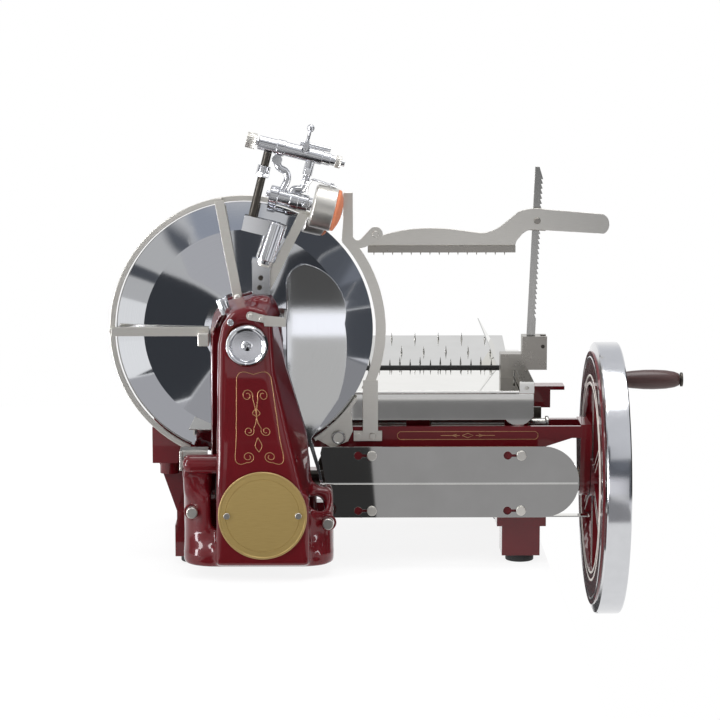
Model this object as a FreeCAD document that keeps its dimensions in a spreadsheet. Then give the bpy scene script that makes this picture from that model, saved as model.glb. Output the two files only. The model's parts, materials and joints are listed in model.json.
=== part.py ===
import FreeCAD, Part
import math
import os
import re
import Sketcher
from FreeCAD import Placement, Rotation, Vector

# A hand cranked flywheel meat slicer, in millimetres.
# The origin is the middle of the four bench bolts, at the underside of the rubber feet.
# +X points to the flywheel, +Y away from the person who turns it, +Z up.

# ---------------------------------------------------------------- driving sizes

SIZES = {
    # clearances
    "fit": 0.05,                    # running clearance on a radius
    "gap": 0.5,                     # clearance between pieces that pass each other

    # blade: edge plane at blade_y, dished towards the front
    "blade_x": -141, "blade_y": -151, "blade_z": 300,
    "blade_radius": 160, "bevel_radius": 125.4, "bevel_depth": 7.5,
    "dish_depth": 15, "blade_thickness": 3.5, "edge_land": 0.6,
    "blade_seat_radius": 50, "spigot_radius": 12,
    "clamp_disc_radius": 45, "clamp_disc_thickness": 4, "seat_flange_radius": 38,
    "flange_thickness": 8, "blade_shaft_radius": 14,
    "small_head_radius": 4, "small_head_height": 2.5, "clamp_screw_circle": 30,

    # drive: main shaft along X, cross shaft and stub shaft along Y
    "shaft_y": -121, "shaft_z": 105, "shaft_radius": 10,
    "shaft_left": -182, "cross_shaft_radius": 8,
    "mitre_radius": 24, "mitre_teeth": 16, "mitre_back": 5,
    "mitre_hub_radius": 14.5, "mitre_hub_length": 6,
    "bush_wall": 3,
    "chain_pitch": 12.7, "sprocket_thickness": 5, "sprocket_hub_length": 3,
    "chain_height": 7, "chain_plate": 1.2, "chain_side_gap": 0.8, "roller_radius": 3.6,
    "blade_teeth": 10, "cross_teeth": 16, "carriage_teeth": 14,
    "stub_x": -20, "idler_x": 200, "carriage_chain_y": -64,
    "stub_bearing_length": 13,

    # column and plinth
    "column_gap": 2, "column_depth": 72, "column_wall": 12, "column_back_wall": 14,
    "blade_chain_y": -213, "column_foot_z": 100, "plinth_top": 108, "plinth_bottom": 15,
    "plinth_left": -217, "plinth_right": -30, "plinth_front": -236, "plinth_back": -156,
    "plinth_corner": 35, "plinth_wall": 12, "plinth_lip": 42, "plinth_recess": 9, "plinth_step": 86,
    "plinth_bolt_radius": 7, "plinth_bolt_length": 11,
    "left_bolt_x": -205, "left_bolt_z": 82, "right_bolt_x": -37.4, "right_bolt_z": 67.6,
    "seat_top": 349,
    "cap_x": -135, "cap_z": 294, "cap_radius": 26, "cap_height": 13,
    "disc_x": -117.5, "disc_z": 83, "disc_radius": 54.5, "disc_thickness": 2.5,
    "disc_screw_spacing": 87.5, "cup_lean": 20,
    "large_cup_radius": 7, "large_cup_length": 20, "small_cup_radius": 4, "small_cup_length": 8,

    # base frame and feet
    "feet_spacing_x": 413, "feet_spacing_y": 250, "rubber_radius": 18, "rubber_height": 10,
    "bolt_hole_radius": 4.5, "pillar_half": 24,
    "frame_bottom": 48, "frame_top": 68, "frame_left": -228, "frame_right": 238,
    "frame_front": -150, "frame_back": 150, "frame_member": 46,
    "middle_member_front": -95, "middle_member_back": -71,
    "left_wall_x": -258, "left_wall_thickness": 30, "left_wall_bottom": 130,
    "buffer_radius": 12.5, "buffer_bottom": 107,
    "rail_radius": 6, "rail_z": 172, "front_rail_y": -100, "rear_rail_y": 105,
    "rail_right": 244, "rail_collar_radius": 9, "rail_collar_length": 4,
    "rail_head": 12,

    # front beam, wheel bracket and chain cover
    "beam_front": -149, "beam_thickness": 6, "beam_bottom": 150, "beam_top": 176,
    "bracket_x": 281, "bracket_thickness": 13, "bracket_boss_radius": 22,
    "cover_y": -176, "cover_sheet": 1.5, "cover_bottom": 65, "cover_end_radius": 45,
    "cover_end_x": 232, "cover_left": -47,
    "cover_screw_left": 17.4, "cover_screw_right": 204.3,
    "cover_screw_top": 143.8, "cover_screw_low": 73.6, "post_radius": 5,
    "cover_head_radius": 6, "screw_head_height": 3, "hanger_width": 10,

    # flywheel
    "wheel_x": 294.5, "wheel_radius": 172.5, "rim_left": 300.5, "rim_width": 30,
    "rim_thickness": 11.5, "felloe_left": 296, "felloe_right": 312, "felloe_inner": 118,
    "wheel_hub_radius": 24, "wheel_hub_length": 27, "spoke_count": 6,
    "spoke_width": 17, "spoke_thickness": 9,
    "nut_radius": 13, "nut_length": 9,
    "handle_radius": 126, "handle_pin_radius": 6, "grip_radius": 12.5, "grip_gap": 1,
    "grip_length": 76,

    # blade guards
    "ring_gap": 1.5, "ring_width": 6.5, "ring_front": -157, "ring_back": -151.2,
    "ring_start": 58, "ring_sweep": 187,
    "strap_front": -171, "strap_thickness": 2.5, "strap_width": 11.5,
    "crescent_gap": 3.5, "crescent_width": 12.5, "crescent_front": -154,
    "crescent_thickness": 2,
    "lower_guard_width": 4.5, "lower_guard_front": -158,
    "deflector_back": -170, "deflector_thickness": 1.5,
    "strip_offset": 33.4, "strip_width": 18.8,

    # carriage
    "carriage_left": -78, "carriage_right": 222, "end_width": 18,
    "carriage_bottom": 185, "carriage_top": 231, "carriage_front": -139.5,
    "carriage_back": 140, "skirt_sheet": 1.5, "skirt_top": 216, "skirt_bottom": 183,
    "ledge_width": 20, "ledge_top": 197, "deck_thickness": 6, "deck_inner": 84,
    "left_block_x": 62, "right_block_x": 187, "block_length": 30, "block_half": 12,
    "block_bottom": 160,
    "yoke_front": -56, "yoke_thickness": 6, "yoke_width": 20, "yoke_bottom": 69,
    "driver_radius": 4,

    # table and feed
    "table_top": 221, "table_sheet": 3, "table_front": -149, "table_back": 49,
    "back_plate_end": 194, "back_plate_rise": 23, "runner_width": 15,
    "runner_front": -130, "feed_x": 72, "feed_z": 205, "feed_radius": 7, "feed_knob_radius": 11.5,
    "post_width": 28, "post_length": 12, "post_front": -135, "post_back": 125,
    "nut_front": -60, "feed_nut_length": 20,
    "spike_radius": 1.3, "spike_height": 9.5, "strip_thickness": 3,
    "fence_length": 100, "fence_height": 53,

    # meat clamp
    "rack_x": 225.5, "rack_foot_z": 275, "rack_front": -33, "rack_thickness": 4,
    "rack_width": 11, "rack_length": 219, "rack_lean": 2.45, "rack_tooth": 6.5, "rack_socket": 18,
    "rack_tooth_depth": 2.6, "shoe_height": 26, "shoe_half": 12, "shoe_wall": 2.5,
    "shoe_rise": 137, "shoe_pin_radius": 4, "arm_thickness": 4, "tooth_pitch": 12,
    "latch_x": 231.5, "latch_z": 262, "latch_pin_radius": 2.5,

    # sharpener, in its own leaning frame: right along its head tube, up along its rod
    "sharpener_x": -129, "sharpener_y": -188, "sharpener_z": 448, "sharpener_lean": 14,
    "rod_radius": 5, "rod_top": 78, "head_tube_radius": 8.8, "head_tube_up": 87,
    "head_tube_left": -15, "head_tube_right": 84, "stone_up": 28.5, "stone_radius": 25.5,
    "stone_left": 98, "stone_width": 7, "drum_left": 70, "drum_wall": 1.2,
    "spindle_radius": 4, "barrel_radius": 10, "barrel_left": 19,
    "lever_right": 38, "lever_pin_radius": 2, "lever_pin_up": 93.3, "ball_radius": 4.8, "ball_up": 119,
    "post_lean": 19, "post_foot_x": -116, "post_foot_z": 390,
}

doc = FreeCAD.newDocument("meat_slicer")
dims = doc.addObject("Spreadsheet::Sheet", "dims")
for row, (word, number) in enumerate(SIZES.items(), 1):
    dims.set("A%d" % row, word)
    dims.set("B%d" % row, str(number))
    dims.setAlias("B%d" % row, word)
doc.recompute()

SIZE_WORD = re.compile(r"[a-z]\w*")
NODES = []


def bound(text):
    """The same expression with each size's word pointed at its cell in the sheet."""
    return SIZE_WORD.sub(lambda m: "dims." + m.group() if m.group() in SIZES else m.group(), str(text))


def mm(text):
    """The number that an expression in the sheet's words has now."""
    value = dims.evalExpression(str(text))
    return float(getattr(value, "Value", value))


# Places worked out from the driving sizes.
COLUMN_BACK = "(blade_y - dish_depth - flange_thickness - column_gap)"
COLUMN_FRONT = "(%s - column_depth)" % COLUMN_BACK
WALL_FRONT = "(%s + column_wall)" % COLUMN_FRONT
WALL_BACK = "(%s - column_back_wall)" % COLUMN_BACK
PLINTH_BACK_WALL = "(plinth_back - column_back_wall)"
BLADE_BACK = "(blade_y - dish_depth + blade_thickness)"
RING_INNER = "(blade_radius + ring_gap)"
RING_OUTER = "(blade_radius + ring_gap + ring_width)"
CRESCENT_INNER = "(blade_radius + crescent_gap)"
EAR_X = "(blade_x + %s * cos(42))" % CRESCENT_INNER
EAR_Z = "(blade_z + %s * sin(42))" % CRESCENT_INNER
LOW_GUARD_X = "(blade_x + %s * cos(45))" % RING_INNER
LOW_GUARD_Z = "(blade_z - %s * sin(45))" % RING_INNER
STRIP_LEFT = "(%s + strip_offset)" % LOW_GUARD_X
DEFLECTOR_LEFT = "(blade_x + blade_radius * 0.33125)"
BLADE_SPROCKET_R = "(blade_teeth * chain_pitch / 6.2832)"
CROSS_SPROCKET_R = "(cross_teeth * chain_pitch / 6.2832)"
CARRIAGE_SPROCKET_R = "(carriage_teeth * chain_pitch / 6.2832)"
BUSH_BLADE = "(blade_shaft_radius + bush_wall)"
BUSH_MAIN = "(shaft_radius + bush_wall)"
BUSH_CROSS = "(cross_shaft_radius + bush_wall)"
DRIVER_X = "(idler_x + %s)" % CARRIAGE_SPROCKET_R
TABLE_UNDER = "(table_top - table_sheet)"
RUNNER_LEFT = "(carriage_left + end_width + 4)"
RUNNER_RIGHT = "(carriage_right - end_width - 4 - runner_width)"
STUB_FRONT = "(shaft_y + mitre_radius)"
BEARING_FRONT = "(%s + mitre_back + mitre_hub_length + gap)" % STUB_FRONT
BEARING_BACK = "(%s + stub_bearing_length)" % BEARING_FRONT

# ---------------------------------------------------------------- ways to make a piece

FACING = {
    "up": Rotation(),                           # outline in X and Y, thickness towards +Z
    "front": Rotation(Vector(1, 0, 0), 90),     # outline in X and Z, thickness towards -Y
    "right": Rotation(Vector(1, 1, 1), 120),    # outline in Y and Z, thickness towards +X
}
ALONG = {
    "X": Rotation(),
    "Y": Rotation(Vector(0, 0, 1), 90),
    "-Y": Rotation(Vector(0, 0, 1), -90),
    "Z": Rotation(Vector(0, 1, 0), -90),
}
CYLINDER_ALONG = {
    "X": Rotation(Vector(0, 1, 0), 90),
    "Y": Rotation(Vector(1, 0, 0), -90),
    "-Y": Rotation(Vector(1, 0, 0), 90),
    "Z": Rotation(),
}


def place(piece, at, rotation=None):
    """Put a piece at a point given as three expressions."""
    if rotation is not None:
        piece.Placement = Placement(Vector(0, 0, 0), rotation)
    for letter, text in zip("xyz", at):
        piece.setExpression("Placement.Base." + letter, bound(text))
    return piece


def keep(piece, label):
    """Name a piece as one of the sub-parts that are written out."""
    piece.Label = label
    NODES.append(piece)
    return piece


def arc_between(start, end, radius, hollow):
    """An arc from start to end; it bulges outwards on a contour drawn anticlockwise."""
    chord = end - start
    half = chord.Length / 2
    sideways = Vector(-chord.y, chord.x, 0).normalize() * math.sqrt(max(radius ** 2 - half ** 2, 0))
    centre = (start + end) * 0.5 + (sideways * -1 if hollow else sideways)
    first, last = (end, start) if hollow else (start, end)
    turn_first = math.atan2(first.y - centre.y, first.x - centre.x)
    turn_last = math.atan2(last.y - centre.y, last.x - centre.x)
    return Part.ArcOfCircle(Part.Circle(centre, Vector(0, 0, 1), radius), turn_first, turn_last)


def pin_point(sketch, edge, end, point, texts):
    """Tie one end of an edge to two expressions."""
    for kind, number, text in (("DistanceX", point.x, texts[0]), ("DistanceY", point.y, texts[1])):
        made = sketch.addConstraint(Sketcher.Constraint(kind, edge, end, number))
        sketch.setExpression("Constraints[%d]" % made, bound(text))


def draw(sketch, outline, holes=()):
    """Draw a closed outline; a third entry is the radius of the arc to the next point."""
    points = [Vector(mm(corner[0]), mm(corner[1]), 0) for corner in outline]
    edges = []
    for number, corner in enumerate(outline):
        start = points[number]
        end = points[(number + 1) % len(points)]
        if len(corner) == 2:
            edges.append((sketch.addGeometry(Part.LineSegment(start, end)), 1, 2))
            continue
        hollow = corner[2].startswith("-")
        arc = arc_between(start, end, mm(corner[2].lstrip("-")), hollow)
        edges.append((sketch.addGeometry(arc), 2 if hollow else 1, 1 if hollow else 2))
    for number, (edge, start, end) in enumerate(edges):
        following = edges[(number + 1) % len(edges)]
        sketch.addConstraint(Sketcher.Constraint("Coincident", edge, end, following[0], following[1]))
        pin_point(sketch, edge, start, points[number], outline[number])
        if len(outline[number]) == 3:
            text = outline[number][2].lstrip("-")
            made = sketch.addConstraint(Sketcher.Constraint("Radius", edge, mm(text)))
            sketch.setExpression("Constraints[%d]" % made, bound(text))
    for across, up, radius in holes:
        centre = Vector(mm(across), mm(up), 0)
        circle = sketch.addGeometry(Part.Circle(centre, Vector(0, 0, 1), mm(radius)))
        pin_point(sketch, circle, 3, centre, (across, up))
        made = sketch.addConstraint(Sketcher.Constraint("Radius", circle, mm(radius)))
        sketch.setExpression("Constraints[%d]" % made, bound(radius))


def sketched_body(outline, holes=()):
    """A PartDesign body with one sketch on its own XY plane."""
    body = doc.addObject("PartDesign::Body", "Body")
    sketch = body.newObject("Sketcher::SketchObject", "Outline")
    plane = [item for item in body.Origin.OriginFeatures if item.Role == "XY_Plane"][0]
    sketch.AttachmentSupport = [(plane, "")]
    sketch.MapMode = "FlatFace"
    draw(sketch, outline, holes)
    return body, sketch


def plate(outline, thickness, at, facing, holes=()):
    """A flat piece: an outline padded to its thickness."""
    body, sketch = sketched_body(outline, holes)
    pad = body.newObject("PartDesign::Pad", "Pad")
    pad.Profile = sketch
    pad.setExpression("Length", bound(thickness))
    return place(body, at, FACING[facing])


def turned(outline, at, along):
    """A turned piece: (station, radius) corners revolved about the station axis."""
    body, sketch = sketched_body(outline)
    revolution = body.newObject("PartDesign::Revolution", "Revolution")
    revolution.Profile = sketch
    revolution.ReferenceAxis = (sketch, ["H_Axis"])
    revolution.Angle = 360
    return place(body, at, ALONG[along])


def box(corner, size):
    """A block from its lowest corner."""
    block = doc.addObject("Part::Box", "Block")
    for side, text in zip(("Length", "Width", "Height"), size):
        block.setExpression(side, bound(text))
    return place(block, corner)


def block(low, high):
    """A block between two corners."""
    return box(low, ["(%s) - (%s)" % (top, bottom) for top, bottom in zip(high, low)])


def rod(radius, length, at, along):
    """A plain round bar."""
    bar = doc.addObject("Part::Cylinder", "Bar")
    bar.setExpression("Radius", bound(radius))
    bar.setExpression("Height", bound(length))
    return place(bar, at, CYLINDER_ALONG[along])


def tube(outer, inner, length, at, along):
    """A round bar with a bore through it."""
    return less(rod(outer, length, at, along), [rod(inner, length, at, along)])


def joined(pieces):
    """Pieces fused into one solid, or a group of solids where they don't touch."""
    if len(pieces) == 1:
        holder = doc.addObject("Part::Compound", "Holder")
        holder.Links = pieces
        return holder
    fusion = doc.addObject("Part::MultiFuse", "Joined")
    fusion.Shapes = pieces
    return fusion


def less(base, tools):
    """A piece with other shapes cut away."""
    cut = doc.addObject("Part::Cut", "Less")
    cut.Base = base
    cut.Tool = tools[0] if len(tools) == 1 else joined(tools)
    return cut


def solid(shape):
    """A shape made with Part's own functions from sizes read off the sheet."""
    feature = doc.addObject("Part::Feature", "Solid")
    feature.Shape = shape
    return feature


def sector(outer, inner, thickness, front, start, sweep):
    """A flat ring segment about the blade's axis, its front face at the given Y."""
    pieces = []
    for radius in (outer, inner):
        pie = doc.addObject("Part::Cylinder", "Pie")
        pie.setExpression("Radius", bound(radius))
        pie.setExpression("Height", bound(thickness))
        pie.setExpression("Angle", bound(sweep))
        turn = FACING["front"].multiply(Rotation(Vector(0, 0, 1), mm(start)))
        pieces.append(place(pie, ("blade_x", "%s + %s" % (front, thickness), "blade_z"), turn))
    return less(pieces[0], [pieces[1]])


def extruded(points, direction):
    """A solid from a ring of points swept along a vector."""
    ring = Part.makePolygon(points + points[:1])
    return Part.Face(ring).extrude(direction)


# ---------------------------------------------------------------- toothed pieces

def sprocket_shape(teeth, bore, hub_radius, chain_gap):
    """A chain wheel about Z, its tooth plate centred on the origin."""
    pitch_radius = teeth * mm("chain_pitch") / (2 * math.pi)
    root = pitch_radius - mm("chain_height") / 2 - chain_gap
    tip = pitch_radius + mm("roller_radius") * 0.6
    step = 2 * math.pi / teeth
    points = []
    for tooth in range(teeth):
        for radius, share in ((root, -0.32), (tip, -0.1), (tip, 0.1), (root, 0.32)):
            turn = step * (tooth + share)
            points.append(Vector(radius * math.cos(turn), radius * math.sin(turn), 0))
    thickness = mm("sprocket_thickness")
    wheel = extruded(points, Vector(0, 0, thickness))
    wheel.translate(Vector(0, 0, -thickness / 2))
    hub_length = mm("sprocket_hub_length")
    start = Vector(0, 0, -thickness / 2 - hub_length)
    hub = Part.makeCylinder(hub_radius, thickness + hub_length, start)
    hole = Part.makeCylinder(bore, thickness + 2 * hub_length, start)
    return wheel.fuse(hub).cut(hole).removeSplitter()


def mitre_tooth(turn, tip_half, root_half, tip, root, small_end):
    """One straight tooth, every edge of which points at the pitch cone's tip."""
    rings = []
    for scale in (1, small_end):
        corners = []
        for (along, out), half in ((root, -root_half), (tip, -tip_half), (tip, tip_half), (root, root_half)):
            corners.append(Vector(out * math.cos(turn + half), out * math.sin(turn + half), along) * scale)
        rings.append(Part.makePolygon(corners + corners[:1]))
    return Part.makeLoft(rings, True, True)


def mitre_gear_shape(bore, phase):
    """A 45 degree bevel gear about Z with its pitch cone's tip at the origin."""
    radius = mm("mitre_radius")
    teeth = int(mm("mitre_teeth"))
    module = 2 * radius / teeth
    lean = math.sqrt(0.5)
    tip = (radius - 0.62 * module * lean, radius + 0.62 * module * lean)
    root = (radius + 0.85 * module * lean, radius - 0.85 * module * lean)
    sunk = (root[0] + 0.3 * lean, root[1] - 0.3 * lean)
    small_end = 0.7
    pitch = 2 * math.pi / teeth
    back = radius + mm("mitre_back")
    profile = [
        Vector(bore, 0, root[0] * small_end), Vector(root[1] * small_end, 0, root[0] * small_end),
        Vector(root[1], 0, root[0]), Vector(root[1], 0, back), Vector(mm("mitre_hub_radius"), 0, back),
        Vector(mm("mitre_hub_radius"), 0, back + mm("mitre_hub_length")),
        Vector(bore, 0, back + mm("mitre_hub_length")),
    ]
    gear = Part.Face(Part.makePolygon(profile + profile[:1])).revolve(Vector(), Vector(0, 0, 1), 360)
    for number in range(teeth):
        turn = (number + phase) * pitch
        gear = gear.fuse(mitre_tooth(turn, 0.1 * pitch, 0.235 * pitch, tip, sunk, small_end))
    return gear.removeSplitter()


def chain_loop(centre_one, radius_one, centre_two, radius_two, side_y):
    """Two plate bands round both wheels, with rollers on the straight runs between them."""
    start = Vector(mm(centre_one[0]), 0, mm(centre_one[1]))
    end = Vector(mm(centre_two[0]), 0, mm(centre_two[1]))
    span = end - start
    run = math.atan2(span.z, span.x)
    splay = math.acos((radius_one - radius_two) / span.Length)
    half = mm("chain_height") / 2
    offset = mm("sprocket_thickness") / 2 + mm("chain_side_gap")
    solids = []
    for side in (-1, 1):
        front = side_y + side * offset + (-mm("chain_plate") if side < 0 else 0)
        outer = belt_wire(start, radius_one + half, end, radius_two + half, run, splay, front)
        inner = belt_wire(start, radius_one - half, end, radius_two - half, run, splay, front)
        band = Part.Face(outer).extrude(Vector(0, mm("chain_plate"), 0))
        solids.append(band.cut(Part.Face(inner).extrude(Vector(0, mm("chain_plate"), 0))))
    for side in (-1, 1):
        turn = run + side * splay
        away = Vector(math.cos(turn), 0, math.sin(turn))
        first = start + away * radius_one
        last = end + away * radius_two
        solids += chain_rollers(first, last, side_y, offset, radius_one, radius_two)
    return Part.makeCompound(solids)


def chain_rollers(first, last, side_y, offset, radius_one, radius_two):
    """Rollers along one straight run, as near to each wheel as its teeth let them be."""
    reach = mm("roller_radius") * 1.6 + 1
    clear = [math.sqrt((radius + reach) ** 2 - radius ** 2) for radius in (radius_one, radius_two)]
    run = last - first
    pitch = mm("chain_pitch")
    count = int((run.Length - clear[0] - clear[1]) / pitch)
    spare = (run.Length - clear[0] - clear[1] - count * pitch) / 2
    heading = Vector(run).normalize()
    rollers = []
    for number in range(count + 1):
        centre = first + heading * (clear[0] + spare + number * pitch)
        base = Vector(centre.x, side_y - offset, centre.z)
        rollers.append(Part.makeCylinder(mm("roller_radius"), 2 * offset, base, Vector(0, 1, 0)))
    return rollers


def belt_wire(start, radius_one, end, radius_two, run, splay, plane_y):
    """The outline of a loop round two circles."""
    def rim(centre, radius, turn):
        return Vector(centre.x + radius * math.cos(turn), plane_y, centre.z + radius * math.sin(turn))
    upper = (rim(start, radius_one, run + splay), rim(end, radius_two, run + splay))
    lower = (rim(start, radius_one, run - splay), rim(end, radius_two, run - splay))
    near = rim(start, radius_one, run + math.pi)
    far = rim(end, radius_two, run)
    return Part.Wire([
        Part.LineSegment(upper[0], upper[1]).toShape(),
        Part.Arc(upper[1], far, lower[1]).toShape(),
        Part.LineSegment(lower[1], lower[0]).toShape(),
        Part.Arc(lower[0], near, upper[0]).toShape(),
    ])


# ---------------------------------------------------------------- base, column and beam

def foot_places():
    """The four feet, as the expressions of their X and Y."""
    return [("%s * feet_spacing_x / 2" % across, "%s * feet_spacing_y / 2" % along)
            for across in ("-1", "1") for along in ("-1", "1")]


def base_casting():
    """The low iron frame that the slides, shafts and column stand on."""
    members = [
        block(("frame_left", "frame_front", "frame_bottom"),
              ("frame_left + frame_member", "frame_back", "frame_top")),
        block(("frame_right - frame_member - 16", "frame_front", "frame_bottom"),
              ("frame_right", "frame_back", "frame_top")),
        block(("frame_left", "frame_back - frame_member", "frame_bottom"),
              ("frame_right", "frame_back", "frame_top")),
        block(("frame_left", "middle_member_front", "frame_bottom"),
              ("frame_right", "middle_member_back", "frame_top")),
    ]
    holes = []
    for across, along in foot_places():
        members.append(block((across + " - pillar_half", along + " - pillar_half", "rubber_height"),
                             (across + " + pillar_half", along + " + pillar_half", "frame_bottom + 2")))
        holes.append(rod("bolt_hole_radius", "frame_top", (across, along, "0"), "Z"))
    members += rail_uprights() + shaft_pillars()
    holes += [
        rod("rail_radius + fit", "left_wall_thickness + 20", ("left_wall_x - 10", side, "rail_z"), "X")
        for side in ("front_rail_y", "rear_rail_y")
    ]
    holes.append(rod("rail_radius + fit", "60", ("frame_right - 30", "rear_rail_y", "rail_z"), "X"))
    holes.append(rod(BUSH_MAIN, "40", ("shaft_left - 10", "shaft_y", "shaft_z"), "X"))
    holes.append(rod(BUSH_CROSS, "stub_bearing_length + 2", ("stub_x", BEARING_FRONT + " - 1", "shaft_z"), "Y"))
    return keep(less(joined(members), holes), "base_casting")


def rail_uprights():
    """The wall and bosses that hold the slide rails' ends."""
    wall_right = "left_wall_x + left_wall_thickness"
    pieces = [
        block(("left_wall_x", "front_rail_y - 15", "left_wall_bottom"),
              (wall_right, "rear_rail_y + 15", "rail_z + rail_head")),
        rod("buffer_radius", "left_wall_bottom - buffer_bottom + 1",
            ("left_wall_x + 18", "front_rail_y + 9", "buffer_bottom"), "Z"),
        block(("frame_right - 4", "rear_rail_y - 15", "rail_z - rail_head"),
              ("frame_right + 24", "rear_rail_y + 15", "rail_z + rail_head")),
        block(("frame_right - 16", "rear_rail_y - 12", "frame_top - 2"),
              ("frame_right + 9", "rear_rail_y + 12", "rail_z - rail_head")),
        block(("frame_right + 2", "rear_rail_y - 15", "rail_z + rail_head"),
              ("frame_right + 43", "rear_rail_y + 15", "rail_z + rail_head + 5")),
    ]
    for side in ("middle_member_front", "frame_back - frame_member"):
        pieces.append(plate(
            [("left_wall_x + 2", "left_wall_bottom - 1"), ("frame_left", "frame_bottom"),
             ("frame_left + 40", "frame_bottom"), (wall_right, "rail_z")],
            "24", ("0", side + " + 24", "0"), "front"))
    return pieces


def shaft_pillars():
    """The bearings of the main shaft's left end, the stub shaft and the idler."""
    boss = BUSH_CROSS + " + 6"
    pieces = [
        block(("shaft_left + 2", "shaft_y - %s - 6" % BUSH_MAIN, "frame_bottom"),
              ("shaft_left + 16", "middle_member_front + 1", "shaft_z")),
        rod(BUSH_MAIN + " + 6", "14", ("shaft_left + 2", "shaft_y", "shaft_z"), "X"),
    ]
    for centre in ("stub_x", "idler_x"):
        pieces.append(block((centre + " - 12", BEARING_FRONT, "frame_top - 2"),
                            (centre + " + 12", BEARING_BACK, "shaft_z")))
        pieces.append(rod(boss, "stub_bearing_length", (centre, BEARING_FRONT, "shaft_z"), "Y"))
    pieces.append(rod("cross_shaft_radius", "carriage_chain_y + sprocket_thickness - 1 - %s" % BEARING_BACK,
                      ("idler_x", BEARING_BACK, "shaft_z"), "Y"))
    return pieces


def column_loft():
    """The column's outside: wide at its back, narrower on its face."""
    back = [("-184", "column_foot_z"), ("-55", "column_foot_z"), ("-62", "172"), ("-89", "262"),
            ("-97", "333"), ("-105", "348"), ("-132", "348"), ("-163", "341"), ("-181", "322"),
            ("-184", "300")]
    face = [("-174", "column_foot_z"), ("-66", "column_foot_z"), ("-84", "172"), ("-103", "262"),
            ("-106", "320"), ("-113", "335"), ("-132", "341"), ("-152", "335"), ("-165", "318"),
            ("-170", "292")]
    rings = []
    for outline, depth in ((back, COLUMN_BACK), (face, COLUMN_FRONT)):
        sketch = doc.addObject("Sketcher::SketchObject", "Ring")
        draw(sketch, outline)
        rings.append(place(sketch, ("0", depth, "0"), FACING["front"]))
    loft = doc.addObject("Part::Loft", "Loft")
    loft.Sections = rings
    loft.Solid = True
    loft.Ruled = True
    return loft


def plinth_slab(front, bottom, top):
    """One level of the plinth: straight at the back, with two round front corners."""
    return plate(
        [("plinth_left", "plinth_back"), ("plinth_left", "%s + plinth_corner" % front, "plinth_corner"),
         ("plinth_left + plinth_corner", front),
         ("plinth_right - plinth_corner", front, "plinth_corner"),
         ("plinth_right", "%s + plinth_corner" % front), ("plinth_right", "plinth_back")],
        "%s - %s" % (top, bottom), ("0", "0", bottom), "up")


def plinth_shoulder():
    """The plinth's raised left shoulder: a sweeping front edge below a round boss."""
    sweep = plate(
        [("plinth_left", "plinth_top - 10"), ("-174", "plinth_top - 10"), ("-177", "plinth_top - 3"),
         ("-192", "plinth_top + 3"), ("-208", "plinth_top + 13"), ("plinth_left", "plinth_top + 26")],
        "40", ("0", "plinth_front + plinth_recess + 46", "0"), "front")
    boss = rod("8", "-184 - plinth_left", ("plinth_left", "plinth_front + 26", "plinth_top + 30"), "X")
    web = block(("plinth_left", "plinth_front + 18", "plinth_top - 2"),
                ("-184", "plinth_front + 34", "plinth_top + 30"))
    return [sweep, boss, web]


def column_casting():
    """The hollow column that carries the blade, on its rounded plinth."""
    face = block(("-175", COLUMN_FRONT, "plinth_bottom + 4"), ("-60", "plinth_front + 20", "plinth_top"))
    seat = block(("-132", "sharpener_y - 24", "320"), ("-106", COLUMN_BACK, "seat_top"))
    lip = plinth_slab("plinth_front", "plinth_bottom", "plinth_lip")
    body = plinth_slab("plinth_front + plinth_recess", "plinth_lip", "plinth_top")
    shell = joined([column_loft(), lip, body, face, seat] + plinth_shoulder())
    hollows = [
        block(("-60", "plinth_front - 1", "plinth_step"), ("plinth_right + 1", "plinth_front + 34", "plinth_top + 1")),
        plate([("-179", "60"), ("-75", "60"), ("-76", "150"), ("-104", "262"), ("-114", "326"),
               ("-168", "326"), ("-179", "300")],
              "%s - %s" % (WALL_BACK, WALL_FRONT), ("0", WALL_BACK, "0"), "front"),
        block(("plinth_left + plinth_wall", "plinth_front + plinth_recess + plinth_wall", "0"),
              ("plinth_right - plinth_wall", PLINTH_BACK_WALL, "plinth_top - plinth_wall")),
        rod(BUSH_BLADE, "column_depth + 10", ("blade_x", COLUMN_FRONT + " - 5", "blade_z"), "Y"),
        rod(BUSH_CROSS, "plinth_back - %s + 16" % COLUMN_FRONT,
            ("blade_x", COLUMN_FRONT + " + 6", "shaft_z"), "Y"),
    ]
    hollows.append(block(("cover_left - 2", "cover_y - gap", "cover_bottom - gap"),
                         ("plinth_right + 1", "plinth_back + 1", "plinth_top + 1")))
    hollows += oil_cup_bars("fit")
    for side in ("left", "right"):
        hollows.append(rod("plinth_bolt_radius + 2", "30",
                           (side + "_bolt_x", "plinth_front + 18", side + "_bolt_z"), "-Y"))
    return keep(less(shell, hollows), "column_casting")


def foot_rubbers():
    """Four rubber feet with the bench bolts' holes through them."""
    feet = [tube("rubber_radius", "bolt_hole_radius", "rubber_height", (across, along, "0"), "Z")
            for across, along in foot_places()]
    return keep(joined(feet), "foot_rubbers")


def plinth_bolts():
    """The two bolts that hold the plinth to the frame."""
    heads = []
    for side in ("left", "right"):
        heads.append(rod("plinth_bolt_radius", "plinth_bolt_length",
                         (side + "_bolt_x", "plinth_front + 18", side + "_bolt_z"), "-Y"))
    return keep(joined(heads), "plinth_bolts")


def hub_cap():
    """The domed chrome cap over the blade shaft's front bearing."""
    outline = [("0", "0"), ("0", "cap_radius"), ("cap_height * 0.25", "cap_radius"),
               ("cap_height * 0.4", "cap_radius - 2.5"), ("cap_height * 0.7", "cap_radius - 5"),
               ("cap_height * 0.92", "cap_radius * 0.6"), ("cap_height", "0")]
    return keep(turned(outline, ("cap_x", COLUMN_FRONT, "cap_z"), "-Y"), "hub_cap")


def name_disc():
    """The plain brass disc on the column's foot."""
    return keep(rod("disc_radius", "disc_thickness", ("disc_x", COLUMN_FRONT, "disc_z"), "-Y"), "name_disc")


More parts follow.
